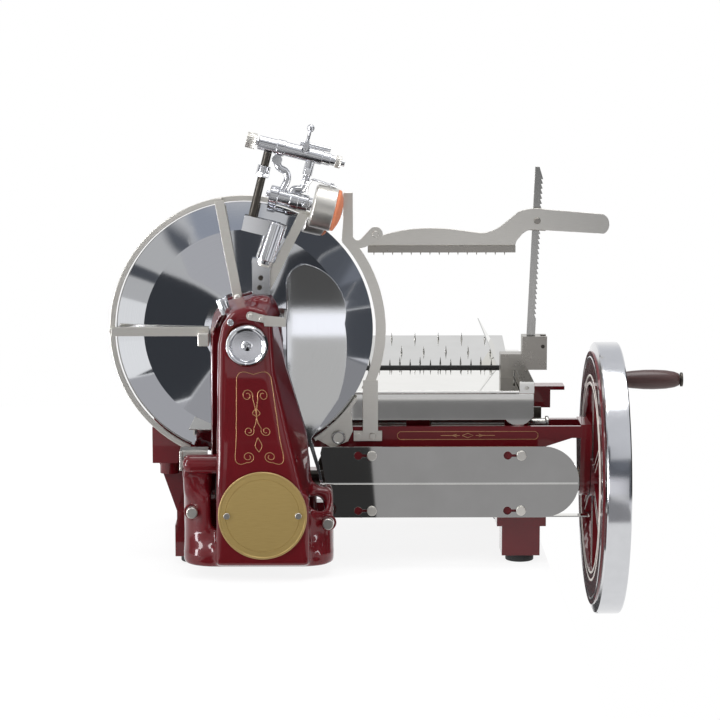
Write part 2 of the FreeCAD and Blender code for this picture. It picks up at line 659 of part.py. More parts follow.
def front_beam():
    """The beam behind the blade that carries the wheel's bearing and the chain cover."""
    beam = plate(
        [("left_wall_x", "beam_bottom - 20"), ("left_wall_x + 31", "beam_bottom - 20"),
         ("left_wall_x + 45", "beam_bottom"), ("bracket_x - 45", "beam_bottom"),
         ("bracket_x - 11", "beam_bottom + 11"), ("bracket_x", "beam_bottom + 11"),
         ("bracket_x", "beam_top"), ("left_wall_x", "beam_top")],
        "beam_thickness", ("0", "beam_front + beam_thickness", "0"), "front")
    stays = [
        block(("left_wall_x", "beam_front + beam_thickness", "beam_bottom - 10"),
              ("left_wall_x + 12", "front_rail_y - 15", "beam_top - 10")),
    ]
    for side in ("cover_screw_left", "cover_screw_right"):
        stays.append(block((side + " - hanger_width / 2", "beam_front", "frame_top"),
                           (side + " + hanger_width / 2", "beam_front + beam_thickness", "beam_bottom + 1")))
        for height in ("cover_screw_top", "cover_screw_low"):
            stays.append(rod("post_radius", "beam_front - cover_y - cover_sheet",
                             (side, "cover_y + cover_sheet", height), "Y"))
    return keep(joined([beam] + stays), "front_beam")


def wheel_bracket():
    """The hanger that holds the main shaft beside the flywheel, with the front rail's arm."""
    hanger = plate(
        [("beam_front", "beam_bottom + 11"), ("shaft_y - bracket_boss_radius", "shaft_z", "bracket_boss_radius"),
         ("shaft_y", "shaft_z - bracket_boss_radius", "bracket_boss_radius"),
         ("shaft_y + bracket_boss_radius", "shaft_z"), ("front_rail_y + 12", "beam_bottom"),
         ("front_rail_y + 12", "beam_top + 2"), ("beam_front", "beam_top + 2")],
        "bracket_thickness", ("bracket_x", "0", "0"), "right",
        holes=[("shaft_y", "shaft_z", BUSH_MAIN)])
    arm = block(("rail_right", "front_rail_y - 6", "rail_z - 4.5"), ("bracket_x", "front_rail_y + 6", "rail_z + 5.5"))
    return keep(joined([hanger, arm]), "wheel_bracket")


def rail_rods():
    """The two steel rods that the carriage slides on; the front one ends in a collar."""
    length = "rail_right - left_wall_x"
    front = rod("rail_radius", length, ("left_wall_x", "front_rail_y", "rail_z"), "X")
    rear = rod("rail_radius", length, ("left_wall_x", "rear_rail_y", "rail_z"), "X")
    collar = rod("rail_collar_radius", "rail_collar_length",
                 ("rail_right - rail_collar_length", "front_rail_y", "rail_z"), "X")
    return keep(joined([joined([front, collar]), rear]), "rail_rods")


def chain_cover():
    """The polished sheet over the carriage chain, round at its wheel end."""
    middle = "(cover_bottom + cover_end_radius)"
    sheet = plate(
        [("cover_left", "cover_bottom + 2 * cover_end_radius - 8"), ("cover_left + 14", "cover_bottom"),
         ("cover_end_x", "cover_bottom", "cover_end_radius"),
         ("cover_end_x + cover_end_radius", middle, "cover_end_radius"),
         ("cover_end_x", "cover_bottom + 2 * cover_end_radius"),
         ("cover_left + 2", "cover_bottom + 2 * cover_end_radius")],
        "cover_sheet", ("0", "cover_y + cover_sheet", "0"), "front")
    flange = block(("plinth_right + gap", "cover_y + cover_sheet", "cover_bottom"),
                   ("wheel_x - 4", "cover_y + 16", "cover_bottom + cover_sheet"))
    return keep(joined([sheet, flange]), "chain_cover")


def machine_screws():
    """Cover, guard, bracket and disc screws: heads, and the nut on the lower guard."""
    heads = []
    for side in ("cover_screw_left", "cover_screw_right"):
        for height in ("cover_screw_top", "cover_screw_low"):
            heads.append(rod("cover_head_radius", "screw_head_height", (side, "cover_y", height), "-Y"))
    for side in ("-1", "1"):
        heads.append(rod("small_head_radius", "small_head_height",
                         ("disc_x + %s * disc_screw_spacing / 2" % side, COLUMN_FRONT + " - disc_thickness",
                          "disc_z"), "-Y"))
    for across in (STRIP_LEFT + " - 5", STRIP_LEFT + " + 12"):
        heads.append(rod("small_head_radius", "small_head_height", (across, "beam_front - 2", "164.5"), "-Y"))
    for across, up in (("-130.7", "329.8"), ("-117.4", "326.1")):
        heads.append(rod("2.8", "small_head_height", (across, COLUMN_FRONT + " - 2.5", up), "-Y"))
    heads.append(rod("small_head_radius", "small_head_height",
                     (EAR_X + " + 41.6", "crescent_front", EAR_Z + " + 10.1"), "-Y"))
    nut = doc.addObject("Part::Prism", "Nut")
    nut.Polygon = 6
    nut.setExpression("Circumradius", bound("plinth_bolt_radius + 0.8"))
    nut.setExpression("Height", bound("screw_head_height + 2"))
    place(nut, (LOW_GUARD_X + " + 2.8", "beam_front - 3", LOW_GUARD_Z + " - 22.4"), FACING["front"])
    return keep(joined(heads + [nut]), "machine_screws")


def shaft_bushes():
    """The bronze bushes pressed into the castings."""
    bushes = [
        tube(BUSH_BLADE, "blade_shaft_radius + fit", "column_back_wall", ("blade_x", WALL_BACK, "blade_z"), "Y"),
        tube(BUSH_BLADE, "blade_shaft_radius + fit", "column_wall", ("blade_x", COLUMN_FRONT, "blade_z"), "Y"),
        tube(BUSH_CROSS, "cross_shaft_radius + fit", "column_back_wall",
             ("blade_x", PLINTH_BACK_WALL, "shaft_z"), "Y"),
        tube(BUSH_CROSS, "cross_shaft_radius + fit", "column_wall",
             ("blade_x", COLUMN_FRONT + " + 6", "shaft_z"), "Y"),
        tube(BUSH_CROSS, "cross_shaft_radius + fit", "stub_bearing_length", ("stub_x", BEARING_FRONT, "shaft_z"), "Y"),
        tube(BUSH_MAIN, "shaft_radius + fit", "14", ("shaft_left + 2", "shaft_y", "shaft_z"), "X"),
        tube(BUSH_MAIN, "shaft_radius + fit", "bracket_thickness", ("bracket_x", "shaft_y", "shaft_z"), "X"),
    ]
    return keep(joined(bushes), "shaft_bushes")


def oil_cup_bars(spare):
    """The oil cup leaning out of the head's shoulder, and the oil plug on the head's face."""
    cup = rod("large_cup_radius + %s" % spare, "large_cup_length", ("-160.5", "-221", "329"), "Z")
    cup.Placement.Rotation = Rotation(Vector(0, 1, 0), -mm("cup_lean"))
    plug = rod("small_cup_radius + %s" % spare, "small_cup_length", ("-155", COLUMN_FRONT + " + 3", "322"), "-Y")
    return [cup, plug]


def oil_cups():
    """The chrome oil cup and oil plug on the blade bearing's head."""
    return keep(joined(oil_cup_bars("0")), "oil_cups")


# ---------------------------------------------------------------- blade and its drive

def blade():
    """The dished round blade."""
    outline = [("0", "blade_radius"), ("bevel_depth - blade_thickness", "bevel_radius"),
               ("dish_depth - blade_thickness", "blade_seat_radius"),
               ("dish_depth - blade_thickness", "spigot_radius + fit"),
               ("dish_depth", "spigot_radius + fit"), ("dish_depth", "blade_seat_radius"),
               ("bevel_depth", "bevel_radius"), ("edge_land", "blade_radius")]
    return keep(turned(outline, ("blade_x", "blade_y", "blade_z"), "-Y"), "blade")


def blade_flange():
    """The disc and screws that clamp the blade from behind."""
    front = BLADE_BACK
    pieces = [tube("clamp_disc_radius", "spigot_radius + fit", "clamp_disc_thickness",
                   ("blade_x", front, "blade_z"), "Y")]
    for turn in range(0, 360, 90):
        pieces.append(rod("small_head_radius", "small_head_height",
                          ("blade_x + clamp_screw_circle * cos(%d)" % turn, front + " + clamp_disc_thickness",
                           "blade_z + clamp_screw_circle * sin(%d)" % turn), "Y"))
    return keep(joined(pieces), "blade_flange")


def blade_shaft():
    """The blade's shaft with the flange that its seat bears on."""
    start = "dish_depth - blade_thickness - clamp_disc_thickness"
    end = "dish_depth + flange_thickness + column_gap + column_depth - 1"
    outline = [(start, "0"), (end, "0"), (end, "blade_shaft_radius"),
               ("dish_depth + flange_thickness", "blade_shaft_radius"),
               ("dish_depth + flange_thickness", "seat_flange_radius"), ("dish_depth", "seat_flange_radius"),
               ("dish_depth", "spigot_radius"), (start, "spigot_radius")]
    return keep(turned(outline, ("blade_x", "blade_y", "blade_z"), "-Y"), "blade_shaft")


def blade_sprocket():
    """The small chain wheel on the blade shaft."""
    bore = mm("blade_shaft_radius + fit")
    wheel = solid(sprocket_shape(int(mm("blade_teeth")), bore, bore + 1.5, 0))
    wheel = place(wheel, ("blade_x", "blade_chain_y", "blade_z"), CYLINDER_ALONG["-Y"])
    return keep(wheel, "blade_sprocket")


def blade_chain():
    """The chain up the column, from the cross shaft to the blade."""
    loop = chain_loop(("blade_x", "shaft_z"), mm(CROSS_SPROCKET_R), ("blade_x", "blade_z"),
                      mm(BLADE_SPROCKET_R), mm("blade_chain_y"))
    return keep(solid(loop), "blade_chain")


def cross_shaft():
    """The short shaft that carries the drive forward into the column."""
    front = COLUMN_FRONT + " + 8"
    back = "shaft_y - mitre_radius - 1"
    return keep(rod("cross_shaft_radius", "%s - (%s)" % (back, front), ("blade_x", front, "shaft_z"), "Y"),
                "cross_shaft")


def cross_gears():
    """The cross shaft's bevel gear and its chain wheel."""
    bore = mm("cross_shaft_radius + fit")
    gear = solid(mitre_gear_shape(bore, 0.5))
    place(gear, ("blade_x", "shaft_y", "shaft_z"), CYLINDER_ALONG["-Y"])
    wheel = solid(sprocket_shape(int(mm("cross_teeth")), bore, bore + 8, 0))
    place(wheel, ("blade_x", "blade_chain_y", "shaft_z"), CYLINDER_ALONG["-Y"])
    return keep(joined([gear, wheel]), "cross_gears")


def main_shaft():
    """The flywheel's shaft, with the nut that holds the wheel on it."""
    end = "wheel_x + wheel_hub_length"
    shaft = rod("shaft_radius", "%s - shaft_left" % end, ("shaft_left", "shaft_y", "shaft_z"), "X")
    nut = doc.addObject("Part::Prism", "Nut")
    nut.Polygon = 6
    nut.setExpression("Circumradius", bound("nut_radius"))
    nut.setExpression("Height", bound("nut_length"))
    place(nut, (end, "shaft_y", "shaft_z"), CYLINDER_ALONG["X"])
    return keep(joined([shaft, nut]), "main_shaft")


def shaft_gears():
    """The two bevel gears on the main shaft, for the blade and for the carriage."""
    gears = []
    for apex in ("blade_x", "stub_x"):
        gear = solid(mitre_gear_shape(mm("shaft_radius + fit"), 0))
        gears.append(place(gear, (apex, "shaft_y", "shaft_z"), CYLINDER_ALONG["X"]))
    return keep(joined(gears), "shaft_gears")


def stub_shaft():
    """The short shaft that turns the carriage chain."""
    back = "carriage_chain_y + sprocket_thickness - 1"
    front = STUB_FRONT + " + 1"
    return keep(rod("cross_shaft_radius", "%s - (%s)" % (back, front), ("stub_x", front, "shaft_z"), "Y"),
                "stub_shaft")


def stub_gears():
    """The stub shaft's bevel gear and its chain wheel."""
    bore = mm("cross_shaft_radius + fit")
    gear = solid(mitre_gear_shape(bore, 0.5))
    place(gear, ("stub_x", "shaft_y", "shaft_z"), CYLINDER_ALONG["Y"])
    wheel = solid(sprocket_shape(int(mm("carriage_teeth")), bore, bore + 5, 0))
    place(wheel, ("stub_x", "carriage_chain_y", "shaft_z"), CYLINDER_ALONG["Y"])
    return keep(joined([gear, wheel]), "stub_gears")


def idler_sprocket():
    """The chain wheel at the far end of the carriage chain, free on its pin."""
    bore = mm("cross_shaft_radius + fit")
    wheel = solid(sprocket_shape(int(mm("carriage_teeth")), bore, bore + 5, 0))
    place(wheel, ("idler_x", "carriage_chain_y", "shaft_z"), CYLINDER_ALONG["Y"])
    return keep(wheel, "idler_sprocket")


def carriage_chain():
    """The endless chain that draws the carriage to and fro."""
    radius = mm(CARRIAGE_SPROCKET_R)
    loop = chain_loop(("stub_x", "shaft_z"), radius, ("idler_x", "shaft_z"), radius, mm("carriage_chain_y"))
    return keep(solid(loop), "carriage_chain")


# ---------------------------------------------------------------- flywheel

def wheel_casting():
    """The spoked flywheel: hub, spokes and felloe."""
    shrink = "rim_thickness"
    hub = tube("wheel_hub_radius", "shaft_radius + fit", "wheel_hub_length",
               ("wheel_x", "shaft_y", "shaft_z"), "X")
    felloe = tube("wheel_radius - %s" % shrink, "felloe_inner", "felloe_right - felloe_left",
                  ("felloe_left", "shaft_y", "shaft_z"), "X")
    pieces = [hub, felloe]
    for number in range(int(mm("spoke_count"))):
        spoke = doc.addObject("Part::Box", "Spoke")
        spoke.setExpression("Length", bound("spoke_thickness"))
        spoke.setExpression("Width", bound("spoke_width"))
        spoke.setExpression("Height", bound("felloe_inner - wheel_hub_radius + 8"))
        lean = number * 360.0 / mm("spoke_count")
        turn = Rotation(Vector(1, 0, 0), lean)
        corner = turn.multVec(Vector(0, -mm("spoke_width") / 2, mm("wheel_hub_radius") - 4))
        place(spoke, ("felloe_left + 3", "shaft_y + %.6f" % corner.y, "shaft_z + %.6f" % corner.z), turn)
        pieces.append(spoke)
    boss = rod("handle_pin_radius + 5", "felloe_right - felloe_left + 2",
               ("felloe_left", "shaft_y", "shaft_z + handle_radius"), "X")
    hole = rod("handle_pin_radius - 1 + fit", "60", ("felloe_left - 5", "shaft_y", "shaft_z + handle_radius"), "X")
    return keep(less(joined(pieces + [boss]), [hole]), "wheel_casting")


def wheel_rim():
    """The chromed rim round the flywheel."""
    return keep(tube("wheel_radius", "wheel_radius - rim_thickness", "rim_width",
                     ("rim_left", "shaft_y", "shaft_z"), "X"), "wheel_rim")


def handle_pin():
    """The pin that the wooden grip turns on."""
    grip_start = "rim_left + rim_width + grip_gap - felloe_left"
    end = "%s + grip_length" % grip_start
    outline = [("0", "0"), (end + " + 4", "0"), (end + " + 4", "handle_pin_radius + 3"),
               (end + " + 1", "handle_pin_radius + 3"), (end + " + 1", "handle_pin_radius"),
               ("felloe_right - felloe_left + 2", "handle_pin_radius"),
               ("felloe_right - felloe_left + 2", "handle_pin_radius - 1"), ("0", "handle_pin_radius - 1")]
    return keep(turned(outline, ("felloe_left", "shaft_y", "shaft_z + handle_radius"), "X"), "handle_pin")


def handle_grip():
    """The turned wooden grip, free on its pin."""
    outline = [("0", "handle_pin_radius + fit"), ("0", "grip_radius * 0.82"),
               ("grip_length * 0.3", "grip_radius"), ("grip_length * 0.75", "grip_radius"),
               ("grip_length * 0.96", "grip_radius * 0.86"), ("grip_length", "grip_radius * 0.72"),
               ("grip_length", "handle_pin_radius + fit")]
    start = "rim_left + rim_width + grip_gap"
    return keep(turned(outline, (start, "shaft_y", "shaft_z + handle_radius"), "X"), "handle_grip")


# ---------------------------------------------------------------- guards

def guard_ring():
    """The steel ring round the blade's far edge."""
    return keep(sector(RING_OUTER, RING_INNER, "ring_back - ring_front", "ring_front",
                       "ring_start", "ring_sweep"), "guard_ring")


def strap_ends():
    """Where the three straps start on the ring and end on the head, from the blade's axis."""
    middle = "(%s + ring_width / 2)" % RING_INNER
    return [(180, middle, "44"), (100.5, middle, "40"), (63, middle, "46")]


def guard_straps():
    """The three flat straps that hold the ring to the blade bearing's head."""
    pieces = []
    for turn, far, near in strap_ends():
        strap = doc.addObject("Part::Box", "Strap")
        strap.setExpression("Length", bound("%s - %s" % (far, near)))
        strap.setExpression("Width", bound("strap_thickness"))
        strap.setExpression("Height", bound("strap_width"))
        swing = Rotation(Vector(0, 1, 0), -turn)
        corner = swing.multVec(Vector(mm(near), 0, -mm("strap_width") / 2))
        place(strap, ("blade_x + %.6f" % corner.x, "strap_front", "blade_z + %.6f" % corner.z), swing)
        foot = rod("ring_width / 2", "ring_front - strap_front - strap_thickness",
                   ("blade_x + (%s) * cos(%s)" % (far, turn), "strap_front + strap_thickness",
                    "blade_z + (%s) * sin(%s)" % (far, turn)), "Y")
        pieces.append(joined([strap, foot]))
    return keep(joined(pieces), "guard_straps")


def strap_clamps():
    """The clamps and spacers between the straps and the head."""
    left = block(("-198", COLUMN_BACK, "blade_z - 16"), ("-184", "strap_front", "blade_z"))
    side = block(("-198", COLUMN_BACK + " - 14", "blade_z - 16"), ("-184", COLUMN_BACK, "blade_z"))
    pieces = [joined([left, side])]
    for turn in (100.5, 63):
        pieces.append(rod("4", "strap_front - %s" % COLUMN_BACK,
                          ("blade_x + 44 * cos(%s)" % turn if turn > 90 else "-117", COLUMN_BACK,
                           "blade_z + 43"), "Y"))
    return keep(joined(pieces), "strap_clamps")


def rim_guard():
    """The flat crescent past the blade's near edge, with its ear and upright bar."""
    crescent = sector(CRESCENT_INNER + " + crescent_width", CRESCENT_INNER, "crescent_thickness",
                      "crescent_front", "-27", "69")
    back = "crescent_front + crescent_thickness"
    ear = plate([("15.5", "-9.4"), ("28.5", "-6.4"), ("48", "3.7", "9"), ("48", "16.5", "9"),
                 ("35.2", "16.5"), ("24", "4.4", "-6"), ("13.7", "7.6"), ("13.5", "28.6"),
                 ("1.6", "28.6"), ("-0.5", "1.6")],
                "crescent_thickness", (EAR_X, back, EAR_Z), "front")
    bar = block((EAR_X + " + 1.5", "crescent_front", EAR_Z + " + 20"), (EAR_X + " + 13.5", back, EAR_Z + " + 61.6"))
    return keep(joined([crescent, ear, bar]), "rim_guard")


def guard_brackets():
    """The crescent's strip and foot, and the deflector's arm on the head."""
    strip_right = STRIP_LEFT + " + strip_width"
    strip = block((STRIP_LEFT, "crescent_front - 2", "171"), (strip_right, "crescent_front", "236"))
    jog = block((STRIP_LEFT, "crescent_front - 2", "169"), (strip_right, "beam_front - 2", "171"))
    foot = block((STRIP_LEFT + " - 11.6", "beam_front - 2", "158"), (STRIP_LEFT + " + 24", "beam_front", "171"))
    arm = plate([("-114", "317.4"), (DEFLECTOR_LEFT, "316.5"), (DEFLECTOR_LEFT, "327.5"), ("-113", "330.3"),
                 ("-130", "335", "5.3"), ("-136", "330.5", "5.3"), ("-132.3", "325"), ("-114.5", "321.5")],
                "2.5", ("0", COLUMN_FRONT, "0"), "front")
    back = block((DEFLECTOR_LEFT + " - 2.5", COLUMN_FRONT, "316.5"),
                 (DEFLECTOR_LEFT, "deflector_back - deflector_thickness", "327.5"))
    return keep(joined([joined([strip, jog, foot]), joined([arm, back])]), "guard_brackets")


def lower_guard():
    """The edge guard at the blade's lower right, with the ear that bolts to the beam."""
    edge = sector(RING_INNER + " + lower_guard_width", RING_INNER, "beam_front - 3 - lower_guard_front",
                  "lower_guard_front", "-58", "26")
    ear = plate([("-25.2", "-24.8"), ("-5.2", "-36.3"), ("14.8", "-27.8"), ("20.8", "-14.8"),
                 ("18.8", "8.2"), ("15.8", "14.7")], "3", (LOW_GUARD_X, "beam_front", LOW_GUARD_Z), "front")
    return keep(joined([edge, ear]), "lower_guard")


def slice_deflector():
    """The polished sheet in front of the blade that turns the slices away."""
    def of_blade(across, up):
        return "blade_x + blade_radius * %s" % across, "blade_z + blade_radius * %s" % up
    sheet = plate(
        [(DEFLECTOR_LEFT, "blade_z - blade_radius * 0.3125"), ("-62", "160"), ("-49", "118"), ("-42", "75"),
         ("-34", "67"), ("-48", "130"), ("-58", "165"), of_blade(0.73125, -0.53125) + ("200",),
         of_blade(0.78125, 0.0625) + ("62",), of_blade(0.475, 0.525) + ("26",),
         (DEFLECTOR_LEFT, "blade_z + blade_radius * 0.325")],
        "deflector_thickness", ("0", "deflector_back", "0"), "front")
    return keep(sheet, "slice_deflector")


def slice_tray():
    """The small polished plate beside the column that the tray hangs on."""
    left = "(plinth_left - 3.5)"
    face = block((left, "plinth_front + 25", "plinth_top + 38"), ("-186", "plinth_front + 27", "plinth_top + 49"))
    shelf = block((left, "plinth_front + 26", "plinth_top + 47"), ("-186", "plinth_front + 53", "plinth_top + 49"))
    side = block((left, "plinth_front + 20", "plinth_top + 25"),
                 ("plinth_left - 0.2", "plinth_front + 32", "plinth_top + 49"))
    return keep(joined([face, shelf, side]), "slice_tray")


# ---------------------------------------------------------------- carriage

def carriage_frame():
    """The carriage: end castings, ledges, decks, slide blocks and feed screw posts."""
    pieces = []
    left_in = "carriage_left + end_width"
    right_in = "carriage_right - end_width"
    for low, high in (("carriage_left", left_in), (right_in, "carriage_right")):
        pieces.append(block((low, "carriage_front", "carriage_bottom"), (high, "carriage_back", "carriage_top")))
    for low, high in ((left_in, left_in + " + ledge_width"), (right_in + " - ledge_width", right_in)):
        pieces.append(block((low, "carriage_front", "carriage_bottom"), (high, "carriage_back", "ledge_top")))
    for low, high in (("carriage_front", "-deck_inner"), ("deck_inner", "carriage_back")):
        pieces.append(block((left_in, low, "carriage_bottom"),
                            (right_in, high, "carriage_bottom + deck_thickness")))
    for front in ("post_front", "post_back"):
        pieces.append(block(("feed_x - post_width / 2", front, "carriage_bottom"),
                            ("feed_x + post_width / 2", front + " + post_length", TABLE_UNDER + " - 2")))
    tools = [rod("feed_radius + fit", "carriage_back - post_front + 20",
                 ("feed_x", "post_front - 10", "feed_z"), "Y")]
    for rail in ("front_rail_y", "rear_rail_y"):
        for start in ("left_block_x", "right_block_x"):
            pieces.append(block((start, rail + " - block_half", "block_bottom"),
                                (start + " + block_length", rail + " + block_half", "carriage_bottom + 1")))
        tools.append(rod("rail_radius + bush_wall", "carriage_right - left_block_x + 40",
                         ("left_block_x - 20", rail, "rail_z"), "X"))
    return keep(less(joined(pieces), tools), "carriage_frame")


def carriage_bushes():
    """The bushes in the slide blocks."""
    bushes = []
    for rail in ("front_rail_y", "rear_rail_y"):
        for start in ("left_block_x", "right_block_x"):
            bushes.append(tube("rail_radius + bush_wall", "rail_radius + fit", "block_length",
                               (start, rail, "rail_z"), "X"))
    return keep(joined(bushes), "carriage_bushes")


def carriage_skirt():
    """The polished sheet along the carriage's front, with the round lobe at its end."""
    lobe_right = "carriage_right - 4"
    sheet = plate(
        [("carriage_left", "skirt_bottom"), ("carriage_right - 35", "skirt_bottom", "20"),
         (lobe_right, "skirt_bottom"), ("carriage_right", "skirt_bottom + 4"),
         ("carriage_right", "skirt_top"), ("carriage_left", "skirt_top")],
        "skirt_sheet", ("0", "carriage_front", "0"), "front")
    return keep(sheet, "carriage_skirt")


def drive_yoke():
    """The slotted bar below the carriage, and the chain's driver pin in its slot."""
    left = "(%s - yoke_width / 2)" % DRIVER_X
    right = "(%s + yoke_width / 2)" % DRIVER_X
    bar = plate([(left, "yoke_bottom"), (right, "yoke_bottom"), (right, "carriage_bottom"),
                 ("carriage_right - end_width", "carriage_bottom"),
                 ("carriage_right - end_width", "carriage_bottom - 7"), (left, "carriage_bottom - 7")],
                "yoke_thickness", ("0", "yoke_front + yoke_thickness", "0"), "front")
    slot = block(("%s - driver_radius - 1" % DRIVER_X, "yoke_front - 2", "shaft_z - 32"),
                 ("%s + driver_radius + 1" % DRIVER_X, "yoke_front + yoke_thickness + 2", "shaft_z + 32"))
    chain_back = "(carriage_chain_y + sprocket_thickness / 2 + chain_side_gap + chain_plate)"
    pin = rod("driver_radius", "yoke_front + yoke_thickness - %s - gap" % chain_back,
              (DRIVER_X, chain_back + " + gap", "shaft_z"), "Y")
    ears = block(("%s - driver_radius - 2" % DRIVER_X, "yoke_front + yoke_thickness", "shaft_z - 6"),
                 ("%s + driver_radius + 2" % DRIVER_X, "yoke_front + yoke_thickness + 2.5", "shaft_z + 6"))
    return keep(joined([less(bar, [slot]), joined([pin, ears])]), "drive_yoke")


# ---------------------------------------------------------------- table and feed

def back_plate_shape():
    """The sheet that slopes up behind the table."""
    start = Vector(0, mm("table_back"), mm("table_top"))
    end = Vector(0, mm("back_plate_end"), mm("table_top + back_plate_rise"))
    down = Vector(0, 0, -mm("table_sheet"))
    left = mm("carriage_left + end_width + gap")
    right = mm("carriage_right - end_width - gap")
    ring = [start + Vector(left, 0, 0), end + Vector(left, 0, 0), end + Vector(left, 0, 0) + down,
            start + Vector(left, 0, 0) + down]
    return extruded(ring, Vector(right - left, 0, 0))


def table_plate():
    """The meat table on its runners, the sloping plate behind it and the feed nut below."""
    left = "carriage_left + end_width + gap"
    right = "carriage_right - end_width - gap"
    pieces = [
        block((left, "table_front", TABLE_UNDER), (right, "table_back", "table_top")),
        solid(back_plate_shape()),
    ]
    runner_bottom = "ledge_top + gap"
    for start in (RUNNER_LEFT, RUNNER_RIGHT):
        pieces.append(block((start, "runner_front", runner_bottom),
                            (start + " + runner_width", "table_back", TABLE_UNDER + " + 1")))
        pieces.append(plate(
            [("table_back - 20", runner_bottom), ("table_back + 20", runner_bottom),
             ("back_plate_end - 4", "table_top + back_plate_rise - 12"),
             ("back_plate_end - 4", "table_top + back_plate_rise - 4"),
             ("table_back", TABLE_UNDER + " + 1"), ("table_back - 20", TABLE_UNDER + " + 1")],
            "6", (start + " + 4", "0", "0"), "right"))
    nut = block(("feed_x - post_width / 2", "nut_front", "feed_z - feed_radius - 4"),
                ("feed_x + post_width / 2", "nut_front + feed_nut_length", TABLE_UNDER + " + 1"))
    pieces.append(less(nut, [rod("feed_radius + fit", "feed_nut_length + 10",
                                 ("feed_x", "nut_front - 5", "feed_z"), "Y")]))
    return keep(joined(pieces), "table_plate")


def table_spikes():
    """Rows of spikes on the sloping plate that hold the meat."""
    slope = mm("back_plate_rise") / (mm("back_plate_end") - mm("table_back"))
    middle = mm("(carriage_left + carriage_right) / 2")
    upright = Vector(0, -slope, 1)
    cones = []
    for distance, count, pitch, shift in ((8, 9, 27, 0), (17, 10, 27, 0), (66, 8, 30, 5), (126, 8, 32, -6)):
        for number in range(count):
            across = middle + shift + (number - (count - 1) / 2) * pitch
            foot = Vector(across, mm("table_back") + distance, mm("table_top") + distance * slope)
            cones.append(Part.makeCone(mm("spike_radius"), 0.15, mm("spike_height"), foot, upright))
    return keep(solid(Part.makeCompound(cones)), "table_spikes")


def rubber_strip():
    """The black strip across the table's back edge."""
    return keep(block(("carriage_left + end_width + gap", "table_back - 6", "table_top"),
                      ("carriage_right - end_width - gap", "table_back", "table_top + strip_thickness")),
                "rubber_strip")


def side_fence():
    """The thin triangular fence beside the meat."""
    slope = mm("back_plate_rise") / (mm("back_plate_end") - mm("table_back"))
    length = mm("fence_length")
    foot = Vector(mm("carriage_right - end_width - 16"), mm("table_back"), mm("table_top"))
    end = foot + Vector(0, length, length * slope)
    top = foot + Vector(-22, length, mm("fence_height"))
    return keep(solid(extruded([foot, end, top], Vector(1.5, 0, 0))), "side_fence")


def feed_screw():
    """The feed screw with its ratchet wheel in front and its knob behind."""
    ratchet = "post_front + post_length + 1"
    screw_end = "post_back + post_length + 1"
    knob_end = screw_end + " + 18"
    outline = [("post_front - 3", "0"), (knob_end, "0"), (knob_end, "feed_knob_radius - 2"),
               (knob_end + " - 2", "feed_knob_radius"), (screw_end + " + 2", "feed_knob_radius"),
               (screw_end, "feed_knob_radius - 2"), (screw_end, "feed_radius"),
               (ratchet + " + 6", "feed_radius"), (ratchet + " + 6", "feed_radius + 4"),
               (ratchet, "feed_radius + 4"), (ratchet, "feed_radius"), ("post_front - 3", "feed_radius")]
    return keep(turned(outline, ("feed_x", "0", "feed_z"), "Y"), "feed_screw")


# ---------------------------------------------------------------- meat clamp

def rack_point(up):
    """A point on the leaning rack's middle line, as expressions of X and Z."""
    return ("rack_x + (%s) * sin(rack_lean)" % up, "rack_foot_z + (%s) * cos(rack_lean)" % up)


def rack_block():
    """The block on the table that the rack stands in."""
    outline = [("carriage_right - end_width - 18", "table_top"), ("carriage_right - end_width - 1", "table_top"),
               ("carriage_right - end_width - 1", "carriage_top + gap"),
               ("carriage_right + 24", "carriage_top + gap"), ("carriage_right + 24", "rack_foot_z"),
               ("carriage_right - 8", "rack_foot_z"), ("carriage_right - 8", "rack_foot_z - 23"),
               ("carriage_right - end_width - 18", "rack_foot_z - 23")]
    body = plate(outline, "26", ("0", "rack_front + 17", "0"), "front")
    slot = block(("carriage_right + 16", "rack_front - 5", "carriage_top - 5"),
                 ("carriage_right + 40", "rack_front + 9", "rack_foot_z + 5"))
    hole = rod("latch_pin_radius + fit", "40", ("latch_x + 9", "rack_front + 25", "latch_z"), "-Y")
    half = mm("rack_width") / 2
    socket = solid(Part.makeBox(2 * half, mm("rack_thickness"), 2 * mm("rack_socket"),
                                Vector(-half, 0, -mm("rack_socket"))))
    place(socket, ("rack_x", "rack_front", "rack_foot_z"), Rotation(Vector(0, 1, 0), mm("rack_lean")))
    return keep(less(body, [slot, hole, socket]), "rack_block")


def rack_latch():
    """The spring catch in the block's side, on its pin."""
    pin = rod("latch_pin_radius", "26", ("latch_x + 9", "rack_front + 17", "latch_z"), "-Y")
    catch = block(("carriage_right + 16.5", "rack_front - 4.5", "latch_z - 24"),
                  ("carriage_right + 22", "rack_front + 8.5", "latch_z + 2.4"))
    return keep(joined([pin, catch]), "rack_latch")


def rack_bar():
    """The leaning toothed bar that the clamp climbs."""
    half = mm("rack_width") / 2
    length = mm("rack_length")
    step = mm("rack_tooth")
    depth = mm("rack_tooth_depth")
    points = [Vector(-half, 0, 0), Vector(half, 0, 0)]
    first = 22
    for number in range(int((length - first - 14) / step)):
        height = first + number * step
        points.append(Vector(half, 0, height))
        points.append(Vector(half - depth, 0, height + step - 0.6))
    points.append(Vector(half, 0, length - 16))
    points.append(Vector(0, 0, length))
    points.append(Vector(-half, 0, length))
    root = Part.makeBox(2 * half, mm("rack_thickness"), mm("rack_socket"), Vector(-half, 0, -mm("rack_socket")))
    bar = solid(extruded(points, Vector(0, mm("rack_thickness"), 0)).fuse(root))
    place(bar, ("rack_x", "rack_front", "rack_foot_z"), Rotation(Vector(0, 1, 0), mm("rack_lean")))
    return keep(bar, "rack_bar")


